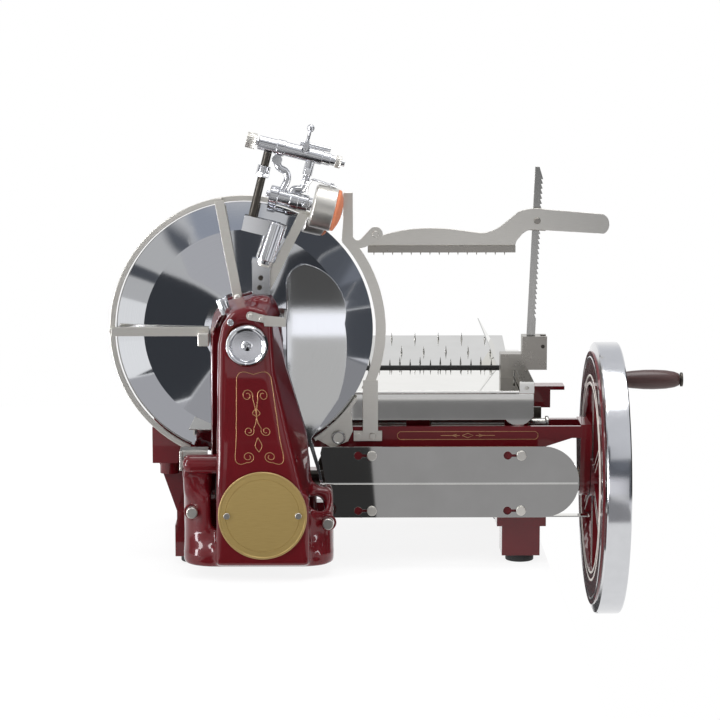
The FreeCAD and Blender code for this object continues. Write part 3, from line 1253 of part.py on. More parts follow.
def rack_shoe():
    """The shoe that slides on the rack and carries the arm on its pin."""
    half = mm("shoe_half")
    height = mm("shoe_height")
    wall = mm("shoe_wall")
    thickness = mm("rack_thickness")
    clear = mm("gap") / 2
    depth = thickness + 2 * clear + 2 * wall
    shoe = Part.makeBox(2 * half, depth, height, Vector(-half, -wall - clear, -height / 2))
    slot = Part.makeBox(mm("rack_width") + 2 * clear, thickness + 2 * clear, height + 2,
                        Vector(-mm("rack_width") / 2 - clear, -clear, -height / 2 - 1))
    pin_length = mm("arm_thickness") + 1.5
    pin = Part.makeCylinder(mm("shoe_pin_radius"), pin_length, Vector(0, -wall - clear, 0), Vector(0, -1, 0))
    piece = solid(shoe.cut(slot).fuse(pin))
    across, up = rack_point("shoe_rise + shoe_height / 2")
    place(piece, (across, "rack_front", up), Rotation(Vector(0, 1, 0), mm("rack_lean")))
    return keep(piece, "rack_shoe")


def clamp_arm():
    """The flat arm with its handle, which the hand presses down on the meat."""
    pin = rack_point("shoe_rise + shoe_height / 2")
    outline = [("14", "393"), ("204", "393", "-14"), ("209", "403", "-24"), ("224.6", "413.7"),
               ("318", "408", "13"), ("324.5", "421.5", "13"), ("316", "433.5"), ("243", "439.5", "60"),
               ("207.7", "436.5"), ("185", "418", "-46"), ("160", "409.3"), ("132", "413", "220"),
               ("101.8", "415.5", "200"), ("31.3", "406")]
    arm = plate(outline, "arm_thickness", ("0", "rack_front - gap / 2 - shoe_wall - 0.3", "0"), "front",
                holes=[(pin[0], pin[1], "shoe_pin_radius + fit")])
    return keep(arm, "clamp_arm")


def tooth_strip():
    """The toothed strip below the arm that grips the meat."""
    back = "rack_front - gap / 2 - shoe_wall - 0.3"
    front = "(%s - arm_thickness - 4)" % back
    shelf = block(("14", front, "390.5"), ("204", back, "393"))
    blade_strip = block(("14", front, "384.5"), ("204", front + " + 2", "391"))
    teeth = []
    first = 22
    count = int((204 - 2 * 8 - 14) / mm("tooth_pitch")) + 1
    for number in range(count):
        foot = Vector(first + number * mm("tooth_pitch"), mm(front) + 1, 384.6)
        teeth.append(solid(Part.makeCone(0.9, 0.15, 3.6, foot, Vector(0, 0, -1))))
    return keep(joined([shelf, blade_strip] + teeth), "tooth_strip")


# ---------------------------------------------------------------- sharpener

def lean_frame(piece):
    """Stand a piece built about the sharpener's own axes where the sharpener stands."""
    return place(piece, ("sharpener_x", "sharpener_y", "sharpener_z"),
                 Rotation(Vector(0, 1, 0), mm("sharpener_lean")))


def guide_rod():
    """The dark rod that carries the sharpener and slides down through the pedestal's seat."""
    return keep(lean_frame(joined([rod("rod_radius", "rod_top + 20", ("0", "0", "-20"), "Z")])), "guide_rod")


def sharpener_pedestal():
    """The chromed pedestal on the head, with the seat of the guide rod."""
    plinth = block(("-130", "sharpener_y - 8", "seat_top"), ("-108", "sharpener_y + 6", "post_foot_z + 4"))
    post = rod("11", "50", ("post_foot_x", "sharpener_y", "post_foot_z - 3"), "Z")
    post.Placement.Rotation = Rotation(Vector(0, 1, 0), mm("post_lean"))
    seat = lean_frame(less(joined([block(("-9", "-9", "-22"), ("36", "9", "-3"))]),
                           [rod("rod_radius + fit", "60", ("0", "0", "-30"), "Z")]))
    return keep(joined([plinth, post, seat]), "sharpener_pedestal")


def sharpener_head():
    """The sharpener's frame: collar, stem, head tube, arm and the stone's barrel."""
    pieces = [
        rod("head_tube_radius", "head_tube_right - head_tube_left", ("head_tube_left", "0", "head_tube_up"), "X"),
        rod("rod_radius + 3.5", "11", ("0", "0", "47"), "Z"),
        block(("-5", "-8.5", "56"), ("5", "-5.3", "head_tube_up")),
        block(("lever_right", "-6", "stone_up"), ("lever_right + 12", "6", "head_tube_up")),
        block(("7", "-5", "49"), ("lever_right + 4", "5", "57")),
        rod("barrel_radius", "drum_left - barrel_left - 2", ("barrel_left", "0", "stone_up"), "X"),
    ]
    bores = [
        rod("rod_radius + fit", "rod_top - 40 + fit", ("0", "0", "40"), "Z"),
        rod("spindle_radius + fit", "100", ("barrel_left - 5", "0", "stone_up"), "X"),
        rod("spindle_radius + fit", "200", ("head_tube_left - 20", "0", "head_tube_up"), "X"),
        rod("lever_pin_radius + fit", "40", ("lever_right + 6", "-20", "lever_pin_up"), "Y"),
    ]
    return keep(lean_frame(less(joined(pieces), bores)), "sharpener_head")


def stone_drum():
    """The chromed drum over the grinding stone, with its loop handle."""
    left = "drum_left - 2"
    shell = less(rod("stone_radius + 3", "stone_left - drum_left", (left, "0", "stone_up"), "X"),
                 [rod("stone_radius + 3 - drum_wall", "stone_left - drum_left",
                      (left + " + drum_wall", "0", "stone_up"), "X"),
                  rod("spindle_radius + 1", "20", (left + " - 5", "0", "stone_up"), "X")])
    loop = less(block((left + " - 12", "-4", "stone_up + 12"), (left + " + 2", "4", "stone_up + 27")),
                [block((left + " - 9", "-5", "stone_up + 15"), (left, "5", "stone_up + 24"))])
    return keep(lean_frame(joined([shell, loop])), "stone_drum")


def sharpening_stone():
    """The orange grinding stone and its spindle."""
    outline = [("barrel_left - 3", "0"), ("stone_left + stone_width + 1", "0"),
               ("stone_left + stone_width + 1", "stone_radius * 0.4"), ("stone_left + stone_width", "stone_radius - 3"),
               ("stone_left + 1", "stone_radius"), ("stone_left - 3", "stone_radius"),
               ("stone_left - 3", "spindle_radius"), ("barrel_left - 1", "spindle_radius"),
               ("barrel_left - 1", "spindle_radius + 3"), ("barrel_left - 3", "spindle_radius + 3")]
    stone = turned(outline, ("0", "0", "stone_up"), "X")
    return keep(lean_frame(joined([stone])), "sharpening_stone")


def sharpener_knobs():
    """The knurled knobs at both ends of the head tube, on one rod."""
    left = "head_tube_left"
    right = "head_tube_right"
    outline = [(left + " - 15", "0"), (right + " + 11", "0"), (right + " + 11", "6"), (right + " + 9", "8"),
               (right + " + 1", "8"), (right + " + 1", "spindle_radius"), (left + " - 1", "spindle_radius"),
               (left + " - 1", "10"), (left + " - 13", "10"), (left + " - 15", "8")]
    return keep(lean_frame(joined([turned(outline, ("0", "0", "head_tube_up"), "X")])), "sharpener_knobs")


def sharpener_lever():
    """The little lever with a ball end that presses the stone to the blade."""
    pivot = "lever_right + 6"
    pin_up = "lever_pin_up"
    pin = rod("lever_pin_radius", "26", (pivot, "-13", pin_up), "Y")
    cheek = rod("5", "3", (pivot, "-13", pin_up), "Y")
    bend = block((pivot + " - 3", "-13", pin_up), (pivot + " + 3", "-10", "head_tube_up + 16"))
    bridge = block((pivot + " - 3", "-13", "head_tube_up + 13"), (pivot + " + 3", "3", "head_tube_up + 16"))
    stem = rod("2", "ball_up - head_tube_up - 14", (pivot, "0", "head_tube_up + 14"), "Z")
    ball = doc.addObject("Part::Sphere", "Ball")
    ball.setExpression("Radius", bound("ball_radius"))
    place(ball, (pivot, "0", "ball_up"))
    return keep(lean_frame(joined([pin, cheek, bend, bridge, stem, ball])), "sharpener_lever")


# ---------------------------------------------------------------- build, check and write

MAKERS = [
    base_casting, column_casting, foot_rubbers, plinth_bolts, hub_cap, name_disc, front_beam,
    wheel_bracket, rail_rods, chain_cover, machine_screws, shaft_bushes, oil_cups,
    blade, blade_flange, blade_shaft, blade_sprocket, blade_chain, cross_shaft, cross_gears,
    main_shaft, shaft_gears, stub_shaft, stub_gears, idler_sprocket, carriage_chain,
    wheel_casting, wheel_rim, handle_pin, handle_grip,
    guard_ring, guard_straps, strap_clamps, rim_guard, guard_brackets, lower_guard,
    slice_deflector, slice_tray,
    carriage_frame, carriage_bushes, carriage_skirt, drive_yoke,
    table_plate, table_spikes, rubber_strip, side_fence, feed_screw,
    rack_block, rack_latch, rack_bar, rack_shoe, clamp_arm, tooth_strip,
    guide_rod, sharpener_pedestal, sharpener_head, stone_drum, sharpening_stone,
    sharpener_knobs, sharpener_lever,
]

for make in MAKERS:
    make()
doc.recompute()

for item in doc.Objects:
    if "Invalid" in item.State or "Error" in item.State:
        raise RuntimeError("failed to recompute: %s (%s)" % (item.Label, item.Name))
for node in NODES:
    if node.Shape.isNull() or not node.Shape.isValid() or not node.Shape.Solids:
        raise RuntimeError("no valid solid: " + node.Label)

os.makedirs("parts", exist_ok=True)
for node in NODES:
    node.Shape.exportStep("parts/%s.step" % node.Label)
print("wrote", len(NODES), "sub-parts")
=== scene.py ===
import json
import math

import bpy
from mathutils import Matrix, Vector

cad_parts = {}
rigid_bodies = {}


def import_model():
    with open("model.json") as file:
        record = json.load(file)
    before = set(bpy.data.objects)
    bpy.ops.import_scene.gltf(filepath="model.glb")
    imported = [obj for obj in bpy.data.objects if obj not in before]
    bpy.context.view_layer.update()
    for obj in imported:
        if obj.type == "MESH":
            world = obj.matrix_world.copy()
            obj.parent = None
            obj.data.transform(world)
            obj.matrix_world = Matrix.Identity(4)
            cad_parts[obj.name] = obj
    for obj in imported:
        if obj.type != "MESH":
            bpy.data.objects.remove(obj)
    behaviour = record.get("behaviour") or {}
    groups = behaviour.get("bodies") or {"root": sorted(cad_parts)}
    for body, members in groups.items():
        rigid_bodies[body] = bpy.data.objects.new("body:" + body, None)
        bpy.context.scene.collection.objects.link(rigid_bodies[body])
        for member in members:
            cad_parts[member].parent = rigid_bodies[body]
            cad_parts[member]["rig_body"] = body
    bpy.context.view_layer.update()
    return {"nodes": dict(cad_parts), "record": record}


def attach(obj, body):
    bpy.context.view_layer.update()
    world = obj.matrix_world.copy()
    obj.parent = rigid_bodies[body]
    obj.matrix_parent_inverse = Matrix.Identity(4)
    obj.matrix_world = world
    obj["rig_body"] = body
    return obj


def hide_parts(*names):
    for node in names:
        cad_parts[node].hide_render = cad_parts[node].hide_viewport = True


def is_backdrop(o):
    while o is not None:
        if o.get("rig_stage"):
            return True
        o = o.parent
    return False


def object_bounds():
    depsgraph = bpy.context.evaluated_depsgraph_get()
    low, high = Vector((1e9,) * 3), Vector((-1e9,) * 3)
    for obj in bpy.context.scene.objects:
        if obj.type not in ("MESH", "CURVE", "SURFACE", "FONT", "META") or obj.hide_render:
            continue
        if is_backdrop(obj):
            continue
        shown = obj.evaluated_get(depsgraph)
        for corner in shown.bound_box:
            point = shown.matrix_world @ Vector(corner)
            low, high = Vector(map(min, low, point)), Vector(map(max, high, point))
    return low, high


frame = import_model()

# ---------------------------------------------------------------- base frame
# The low frame that the slides, shafts and column stand on. It is one grey iron casting,
# ground on its seats, and sprayed and baked in several coats of burgundy enamel.


def linear(code):
    """A colour written as sRGB hex, as the linear red, green, blue and alpha that a socket takes."""
    parts = [int(code[i:i + 2], 16) / 255 for i in (1, 3, 5)]
    return [c / 12.92 if c <= 0.04045 else ((c + 0.055) / 1.055) ** 2.4 for c in parts] + [1.0]


def new_finish(name, **sockets):
    """A material with its Principled shader's own sockets set; a word's underscores are spaces."""
    material = bpy.data.materials.new(name)
    material.use_nodes = True
    shader = material.node_tree.nodes["Principled BSDF"]
    for word, value in sockets.items():
        shader.inputs[word.replace("_", " ")].default_value = value
    return material, material.node_tree, shader


def add(tree, kind, values=(), links=(), **settings):
    """One more node: its settings, its sockets' values, and what is linked into it."""
    node = tree.nodes.new("ShaderNode" + kind)
    for word, value in settings.items():
        setattr(node, word, value)
    for socket, value in dict(values).items():
        node.inputs[socket].default_value = value
    for socket, source in dict(links).items():
        tree.links.new(source, node.inputs[socket])
    return node


# Baked burgundy enamel on cast iron: deep and very glossy, with a faint orange peel of about
# 2 mm and a slow change of depth where the coats lie thicker.
enamel, tree, shader = new_finish("burgundy_enamel", Roughness=0.32, Specular_IOR_Level=0.12,
                                  Coat_Weight=1.0, Coat_Roughness=0.02, Coat_IOR=1.4)
place = add(tree, "TexCoord").outputs["Object"]
depth = add(tree, "TexNoise", {"Scale": 1 / 0.06, "Detail": 3}, {"Vector": place})
tone = add(tree, "MixRGB", {"Color1": linear("#50080f"), "Color2": linear("#620c15")},
           {"Fac": depth.outputs["Fac"]})
tree.links.new(tone.outputs["Color"], shader.inputs["Base Color"])
peel = add(tree, "TexNoise", {"Scale": 1 / 0.002, "Detail": 1}, {"Vector": place})
skin = add(tree, "Bump", {"Strength": 0.05, "Distance": 0.00003}, {"Height": peel.outputs["Fac"]})
tree.links.new(skin.outputs["Normal"], shader.inputs["Coat Normal"])


def work_on(piece):
    """Nothing but this piece selected, in edit mode, with all of it selected."""
    if bpy.context.object and bpy.context.object.mode == "EDIT":
        bpy.ops.object.mode_set(mode="OBJECT")
    bpy.ops.object.select_all(action="DESELECT")
    piece.select_set(True)
    bpy.context.view_layer.objects.active = piece
    bpy.ops.object.mode_set(mode="EDIT")
    bpy.ops.mesh.select_mode(type="VERT")
    bpy.ops.mesh.select_all(action="SELECT")


def modify(piece, kind, **settings):
    """One modifier, set and applied."""
    bpy.ops.object.mode_set(mode="OBJECT")
    bpy.ops.object.modifier_add(type=kind)
    modifier = piece.modifiers[-1]
    for word, value in settings.items():
        setattr(modifier, word, value)
    bpy.ops.object.modifier_apply(modifier=modifier.name)


def seat(piece, body, finish, slot, *nodes):
    """Dress a finished piece, make it ride, and let it stand for its nodes."""
    bpy.ops.object.mode_set(mode="OBJECT")
    piece.data.materials.clear()
    piece.data.materials.append(finish)
    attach(piece, body)
    if nodes:
        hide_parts(*nodes)
    return piece


def copied(node, name):
    """A node's own shape as a new piece, its loose triangles joined; left in edit mode."""
    piece = bpy.data.objects.new(name, frame["nodes"][node].data.copy())
    bpy.context.scene.collection.objects.link(piece)
    work_on(piece)
    bpy.ops.mesh.remove_doubles(threshold=0.00001)
    return piece


def eased(node, finish, width=0.0006, segments=2):
    """A node's own shape with its edges broken, as a file or a casting's fillet leaves them."""
    piece = copied(node, node + "_eased")
    bpy.ops.mesh.dissolve_limited(angle_limit=math.radians(0.6))
    modify(piece, "BEVEL", width=width, segments=segments, limit_method="ANGLE",
           angle_limit=math.radians(32), harden_normals=True)
    slot = [part["material_slot"] for part in frame["record"]["subparts"] if part["node"] == node][0]
    return seat(piece, frame["nodes"][node]["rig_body"], finish, slot, node)


eased("base_casting", enamel, 0.003, 3)

# ---------------------------------------------------------------- feet
# Four round rubber feet under the frame's pads, moulded in black rubber and clamped by the
# bench bolts that pass through them.

# Moulded rubber: near black and dull, with a fine pitted skin of about 1 mm.
rubber, tree, shader = new_finish("moulded_rubber", Roughness=0.62)
place = add(tree, "TexCoord").outputs["Object"]
pits = add(tree, "TexNoise", {"Scale": 1 / 0.0012, "Detail": 3}, {"Vector": place})
tone = add(tree, "MixRGB", {"Color1": linear("#0d0d0e"), "Color2": linear("#1e1e1f")},
           {"Fac": pits.outputs["Fac"]})
tree.links.new(tone.outputs["Color"], shader.inputs["Base Color"])
skin = add(tree, "Bump", {"Strength": 0.3, "Distance": 0.0001}, {"Height": pits.outputs["Fac"]})
tree.links.new(skin.outputs["Normal"], shader.inputs["Normal"])
eased("foot_rubbers", rubber, 0.0015, 3)

# ---------------------------------------------------------------- column
# The hollow column that carries the blade, cast in one with its rounded plinth and the boss on its
# left shoulder, enamelled, and held by two bolts. Casting and paint leave no sharp edge, so its
# shape is remeshed and smoothed, and the plinth's sides once more.
column = copied("column_casting", "column_body")
modify(column, "REMESH", mode="VOXEL", voxel_size=0.0022, use_smooth_shade=True)
modify(column, "SMOOTH", factor=0.5, iterations=38)
side_left, side_right, side_low, side_high = -0.177, -0.058, 0.03, 0.125
work_on(column)
bpy.ops.mesh.select_all(action="DESELECT")
bpy.ops.object.mode_set(mode="OBJECT")
for vertex in column.data.vertices:
    x, y, z = vertex.co
    vertex.select = (x < side_left or x > side_right) and side_low < z < side_high
bpy.ops.object.mode_set(mode="EDIT")
bpy.ops.mesh.vertices_smooth(factor=0.5, repeat=60)
seat(column, "frame", enamel, "burgundy_enamel", "column_casting")


def traced(name, points):
    """A chain of edges through points in mm, drawn by extruding one vertex; left in edit mode."""
    bpy.ops.object.select_all(action="DESELECT")
    bpy.ops.mesh.primitive_plane_add(size=0.001, location=(0, 0, 0))
    piece = bpy.context.object
    piece.name = piece.data.name = name
    work_on(piece)
    bpy.ops.mesh.merge(type="CENTER")
    points = [Vector(point) / 1000 for point in points]
    bpy.ops.transform.translate(value=points[0])
    for last, here in zip(points, points[1:]):
        bpy.ops.mesh.extrude_region_move(TRANSFORM_OT_translate={"value": here - last})
    bpy.ops.mesh.select_all(action="SELECT")
    return piece


def lathe(name, profile, centre, axis="Y", steps=96, smooth=30):
    """A turned piece: (radius, place along the axis) pairs in mm, turned once round the centre."""
    x, y, z = centre
    if axis == "Y":
        spots = [(x + radius, at, z) for radius, at in profile]
    else:
        spots = [(at, y, z + radius) for radius, at in profile]
    piece = traced(name, spots)
    bpy.ops.mesh.spin(steps=steps, angle=2 * math.pi, center=Vector(centre) / 1000,
                      axis=(0, 1, 0) if axis == "Y" else (1, 0, 0))
    bpy.ops.mesh.select_all(action="SELECT")
    bpy.ops.mesh.remove_doubles(threshold=0.000005)
    bpy.ops.mesh.normals_make_consistent(inside=False)
    bpy.ops.object.mode_set(mode="OBJECT")
    bpy.ops.object.shade_smooth_by_angle(angle=math.radians(smooth))
    modify(piece, "WEIGHTED_NORMAL", keep_sharp=True, weight=100)
    return piece


boss = lathe("shoulder_boss", [(0, -216.5), (5, -216.2), (9, -214.5), (11.5, -211), (12, -206),
                               (12, -165), (0, -165)], (0, -214, 141), axis="X", steps=64, smooth=60)
seat(boss, "frame", enamel, "burgundy_enamel")


def washer(name, centre, radius, wire, finish, slot="satin_nickel"):
    """A flat-bottomed ring about Y: its middle at radius, its half width and height wire, in mm."""
    level = centre[1]
    ring = lathe(name, [(radius - wire, level), (radius - wire * 0.4, level - wire),
                        (radius + wire * 0.4, level - wire), (radius + wire, level)], centre, steps=64)
    return seat(ring, "frame", finish, slot)


washer("left_bolt_ring", (-205, -217.5, 82), 9.0, 1.4, enamel, "burgundy_enamel")
washer("right_bolt_ring", (-37.4, -217.5, 67.6), 9.0, 1.4, enamel, "burgundy_enamel")

# Satin nickel: soft and slightly warm, brushed in short lines of about 12 mm. The lines are
# 0.5 mm apart, coarser than a real brush leaves them, so that they show.
satin, tree, shader = new_finish("satin_nickel", Metallic=1.0, Roughness=0.32)
place = add(tree, "TexCoord").outputs["Object"]
stretch = add(tree, "Mapping", {"Scale": (1 / 0.012, 1 / 0.0005, 1 / 0.0005)}, {"Vector": place})
lines = add(tree, "TexNoise", {"Scale": 1.0, "Detail": 2}, {"Vector": stretch.outputs["Vector"]})
tone = add(tree, "MixRGB", {"Color1": linear("#d5d2ca"), "Color2": linear("#e5e2db")},
           {"Fac": lines.outputs["Fac"]})
tree.links.new(tone.outputs["Color"], shader.inputs["Base Color"])
skin = add(tree, "Bump", {"Strength": 0.15, "Distance": 0.00005}, {"Height": lines.outputs["Fac"]})
tree.links.new(skin.outputs["Normal"], shader.inputs["Normal"])
eased("plinth_bolts", satin, 0.0012)

# ---------------------------------------------------------------- brass disc
# The disc on the column's foot, stamped from brass sheet, brushed and lacquered. It has a rolled
# rim and one engraved ring, and two small screws hold it.
DISC_X, DISC_Z, DISC_FACE = -117.5, 83, -250

# Brushed and lacquered brass: a soft yellow, dulled by its lacquer, with lines of the brush 12 mm
# long and 0.4 mm apart. The rolled rim, past 52.5 mm, is one even tone.
disc_metal, tree, shader = new_finish("stamped_brass", Metallic=0.45, Roughness=0.34)
place = add(tree, "TexCoord").outputs["Object"]
reach = add(tree, "VectorMath", {1: (DISC_X / 1000, DISC_FACE / 1000, DISC_Z / 1000)}, {0: place},
            operation="DISTANCE")
stretch = add(tree, "Mapping", {"Scale": (1 / 0.012, 1 / 0.0004, 1 / 0.0004)}, {"Vector": place})
lines = add(tree, "TexNoise", {"Scale": 1.0, "Detail": 2}, {"Vector": stretch.outputs["Vector"]})
tone = add(tree, "MixRGB", {"Color1": linear("#a08750"), "Color2": linear("#b59c62")},
           {"Fac": lines.outputs["Fac"]})
rim = add(tree, "MapRange", {"From Min": 0.0522, "From Max": 0.0528}, {"Value": reach.outputs["Value"]})
edged = add(tree, "MixRGB", {"Color2": linear("#a98f5c")},
            {"Fac": rim.outputs["Result"], "Color1": tone.outputs["Color"]})
tree.links.new(edged.outputs["Color"], shader.inputs["Base Color"])
disc = lathe("disc_turned", [(54.5, -248), (54.5, -249.9), (53.8, -250.5), (52.2, -250.5), (51.6, -249.9),
                             (45.6, -249.9), (45.2, -249.4), (44.8, -249.9), (0, -249.9)],
             (DISC_X, 0, DISC_Z), steps=160, smooth=25)
seat(disc, "frame", disc_metal, "brass", "name_disc")
eased("machine_screws", satin)

# ---------------------------------------------------------------- gold lining
# Traditional curls and borders, painted by hand in gold size on the column's face. Each line is a
# thin film with a rounded section, so it is a bevelled curve flattened on to the enamel.

# Gold size: a soft, slightly brown gold, worn paler in patches of about 4 mm.
gold, tree, shader = new_finish("gold_lining", Metallic=0.6, Roughness=0.4)
place = add(tree, "TexCoord").outputs["Object"]
wear = add(tree, "TexNoise", {"Scale": 1 / 0.004, "Detail": 3}, {"Vector": place})
tone = add(tree, "MixRGB", {"Color1": linear("#96704a"), "Color2": linear("#b78d62")},
           {"Fac": wear.outputs["Fac"]})
tree.links.new(tone.outputs["Color"], shader.inputs["Base Color"])


def swept(name, path_points, radius, fineness, caps=False):
    """Round rods along paths of points in metres, as one mesh; left in edit mode."""
    line = bpy.data.curves.new(name, "CURVE")
    line.dimensions, line.bevel_depth, line.bevel_resolution = "3D", radius, fineness
    line.use_fill_caps = caps
    for points in path_points:
        spline = line.splines.new("POLY")
        spline.points.add(len(points) - 1)
        for point, spot in zip(spline.points, points):
            point.co = (*spot, 1)
    piece = bpy.data.objects.new(name, line)
    bpy.context.scene.collection.objects.link(piece)
    bpy.ops.object.select_all(action="DESELECT")
    piece.select_set(True)
    bpy.context.view_layer.objects.active = piece
    bpy.ops.object.convert(target="MESH")
    work_on(bpy.context.object)
    return bpy.context.object


def lining(name, paths, width, plane, finish, body="frame", slot="brass", across="X"):
    """Painted lines, flattened to a film: paths of (x, z) in mm at one y, or of (y, z) at one x."""
    film, level = 0.12, plane / 1000
    if across == "X":
        spots = [[(x / 1000, 0, z / 1000) for x, z in path] for path in paths]
        flat, shift = (1, film, 1), (0, level, 0)
    else:
        spots = [[(0, y / 1000, z / 1000) for y, z in path] for path in paths]
        flat, shift = (film, 1, 1), (level, 0, 0)
    piece = swept(name, spots, width / 2000, 1)
    bpy.ops.transform.resize(value=flat, center_override=(0, 0, 0))
    bpy.ops.transform.translate(value=shift)
    bpy.ops.mesh.normals_make_consistent(inside=False)
    return seat(piece, body, finish, slot)


def flowing(points, count=6):
    """A smooth line through points, as a brush draws it."""
    ends = [points[0]] + list(points) + [points[-1]]
    line = []
    for p, q, r, s in zip(ends, ends[1:], ends[2:], ends[3:]):
        for k in range(count):
            t = k / count
            line.append(tuple(0.5 * (2 * q[i] + (r[i] - p[i]) * t
                                     + (2 * p[i] - 5 * q[i] + 4 * r[i] - s[i]) * t * t
                                     + (3 * q[i] - p[i] - 3 * r[i] + s[i]) * t ** 3) for i in (0, 1)))
    return line + [points[-1]]


def scroll(u, v, size, start, turn):
    """A coach painter's curl: it runs in round its eye at (u, v), from a radius of size, in 1.4 turns."""
    steps = 24
    angles = [start + turn * math.radians(21) * k for k in range(steps + 1)]
    return [(u + size * (1 - 0.7 * k / steps) * math.cos(a), v + size * (1 - 0.7 * k / steps) * math.sin(a))
            for k, a in enumerate(angles)]


# One side of the ornament, across from the face's middle line (u) and up from the disc (v), in mm,
# drawn for a face of half width 30. FACE_LOW and FACE_HIGH are the middle's x, the z and the real
# half width at the panel's two ends.
FACE_LOW, FACE_HIGH, DRAWN_WIDTH = (-120.0, 140.0, 34.0), (-128.0, 268.0, 23.0), 30
half = [flowing([(0, 118), (6, 119.5), (14, 121), (21, 120), (25.4, 115), (26, 106), (26, 40), (27, 14),
                 (22, 7), (14, 9)]) + scroll(12.5, 16, 7, -math.pi / 2, -1),
        scroll(11, 92, 8, math.radians(200), -1)[::-1] + flowing([(3.5, 88), (1, 76), (0, 66)]),
        scroll(10.5, 48, 6.5, math.radians(150), 1)[::-1] + flowing([(4.9, 51), (1.5, 58), (0, 66)]),
        flowing([(0, 66), (5, 70), (0, 76)]),
        flowing([(0, 22), (4, 30), (0, 40)])]
scrolls = []
for side in (-1, 1):
    for path in half:
        placed = []
        for u, v in path:
            part = v / (FACE_HIGH[1] - FACE_LOW[1])
            middle = FACE_LOW[0] + (FACE_HIGH[0] - FACE_LOW[0]) * part
            width = FACE_LOW[2] + (FACE_HIGH[2] - FACE_LOW[2]) * part
            placed.append((middle + side * u * width / DRAWN_WIDTH, FACE_LOW[1] + v))
        scrolls.append(placed)
lining("column_scrolls", scrolls, 1.0, -248.06, gold)

# ---------------------------------------------------------------- beam and bracket
# The beam behind the blade and the wheel's hanger, cast iron in the same enamel. The beam's front
# carries a gold panel: a plain border with cut corners, and a lozenge between two darts.
eased("front_beam", enamel, 0.0012, 3)
eased("wheel_bracket", enamel, 0.002, 3)
west, east, low, high, cut = 50.0, 227.0, 159.5, 169.5, 3.0
middle, level = (west + east) / 2, (low + high) / 2
tapers = [[(west + cut, low), (east - cut, low), (east, low + cut), (east, high - cut), (east - cut, high),
           (west + cut, high), (west, high - cut), (west, low + cut), (west + cut, low)],
          [(middle - 7, level), (middle, level + 2.8), (middle + 7, level), (middle, level - 2.8),
           (middle - 7, level)]]
for side in (-1, 1):
    tapers.append([(middle + side * 10, level), (middle + side * 34, level)])
    tapers.append([(middle + side * 14, level + 1.8), (middle + side * 20, level),
                   (middle + side * 14, level - 1.8)])
lining("beam_scrolls", tapers, 0.8, -149.06, gold)

# ---------------------------------------------------------------- carriage
# The carriage runs on two ground steel rods. Its frame is cast iron in enamel, with a skirt of
# polished sheet hung on its front and a bright folded cap over its right wall, held by one screw.

# Ground steel: grey, with the wheel's lines 10 mm long and 0.5 mm apart across it.
ground, tree, shader = new_finish("ground_steel", Metallic=1.0, Roughness=0.22)
place = add(tree, "TexCoord").outputs["Object"]
stretch = add(tree, "Mapping", {"Scale": (1 / 0.0005, 1 / 0.01, 1 / 0.01)}, {"Vector": place})
lines = add(tree, "TexNoise", {"Scale": 1.0, "Detail": 2}, {"Vector": stretch.outputs["Vector"]})
tone = add(tree, "MixRGB", {"Color1": linear("#9b9a96"), "Color2": linear("#b5b4b0")},
           {"Fac": lines.outputs["Fac"]})
tree.links.new(tone.outputs["Color"], shader.inputs["Base Color"])
eased("rail_rods", ground, 0.0005)
eased("carriage_frame", enamel, 0.0015, 3)

# Polished nickel plate on sheet steel: bright and cool, with faint lines of the buff along X,
# 30 mm long, and a slow change of colour every 40 mm.
polished, tree, shader = new_finish("polished_nickel", Metallic=1.0, Roughness=0.12)
place = add(tree, "TexCoord").outputs["Object"]
stretch = add(tree, "Mapping", {"Scale": (1 / 0.03, 1 / 0.0006, 1 / 0.0006)}, {"Vector": place})
lines = add(tree, "TexNoise", {"Scale": 1.0, "Detail": 2}, {"Vector": stretch.outputs["Vector"]})
cloud = add(tree, "TexNoise", {"Scale": 1 / 0.04, "Detail": 3}, {"Vector": place})
tone = add(tree, "MixRGB", {"Color1": linear("#d8d7d2"), "Color2": linear("#e8e7e3")},
           {"Fac": cloud.outputs["Fac"]})
tree.links.new(tone.outputs["Color"], shader.inputs["Base Color"])
gloss = add(tree, "MapRange", {"To Min": 0.015, "To Max": 0.05}, {"Value": lines.outputs["Fac"]})
tree.links.new(gloss.outputs["Result"], shader.inputs["Roughness"])
eased("carriage_skirt", polished, 0.0004)

cap_front, cap_length = -141, 282
cap_outline = [(203.9, 216.6), (203.9, 231.2), (204.5, 231.8), (206.4, 231.8), (207.0, 231.4),
               (221.9, 231.4), (222.5, 230.8), (222.5, 216.6), (203.9, 216.6)]
cap_end = traced("carriage_end_cap", [(x, cap_front, z) for x, z in cap_outline])
bpy.ops.mesh.remove_doubles(threshold=0.00001)
bpy.ops.mesh.edge_face_add()
bpy.ops.mesh.extrude_region_move(TRANSFORM_OT_translate={"value": (0, cap_length / 1000, 0)})
bpy.ops.mesh.select_all(action="SELECT")
bpy.ops.mesh.normals_make_consistent(inside=False)
modify(cap_end, "BEVEL", width=0.0003, segments=2, limit_method="ANGLE", angle_limit=math.radians(40))
seat(cap_end, "carriage", polished, "polished_steel")
cap_screw = lathe("carriage_end_screw", [(0, -141.7), (2.2, -141.6), (2.8, -141.3), (2.9, -140.9),
                                         (0, -140.9)], (213, 0, 223.5), steps=32)
seat(cap_screw, "carriage", satin, "satin_nickel")

# ---------------------------------------------------------------- meat table
# The plate that the meat lies on, folded from polished steel sheet, with a triangular fence. It
# slides to the rear on a dark feed screw.
eased("table_plate", polished)
eased("side_fence", polished, 0.0004)

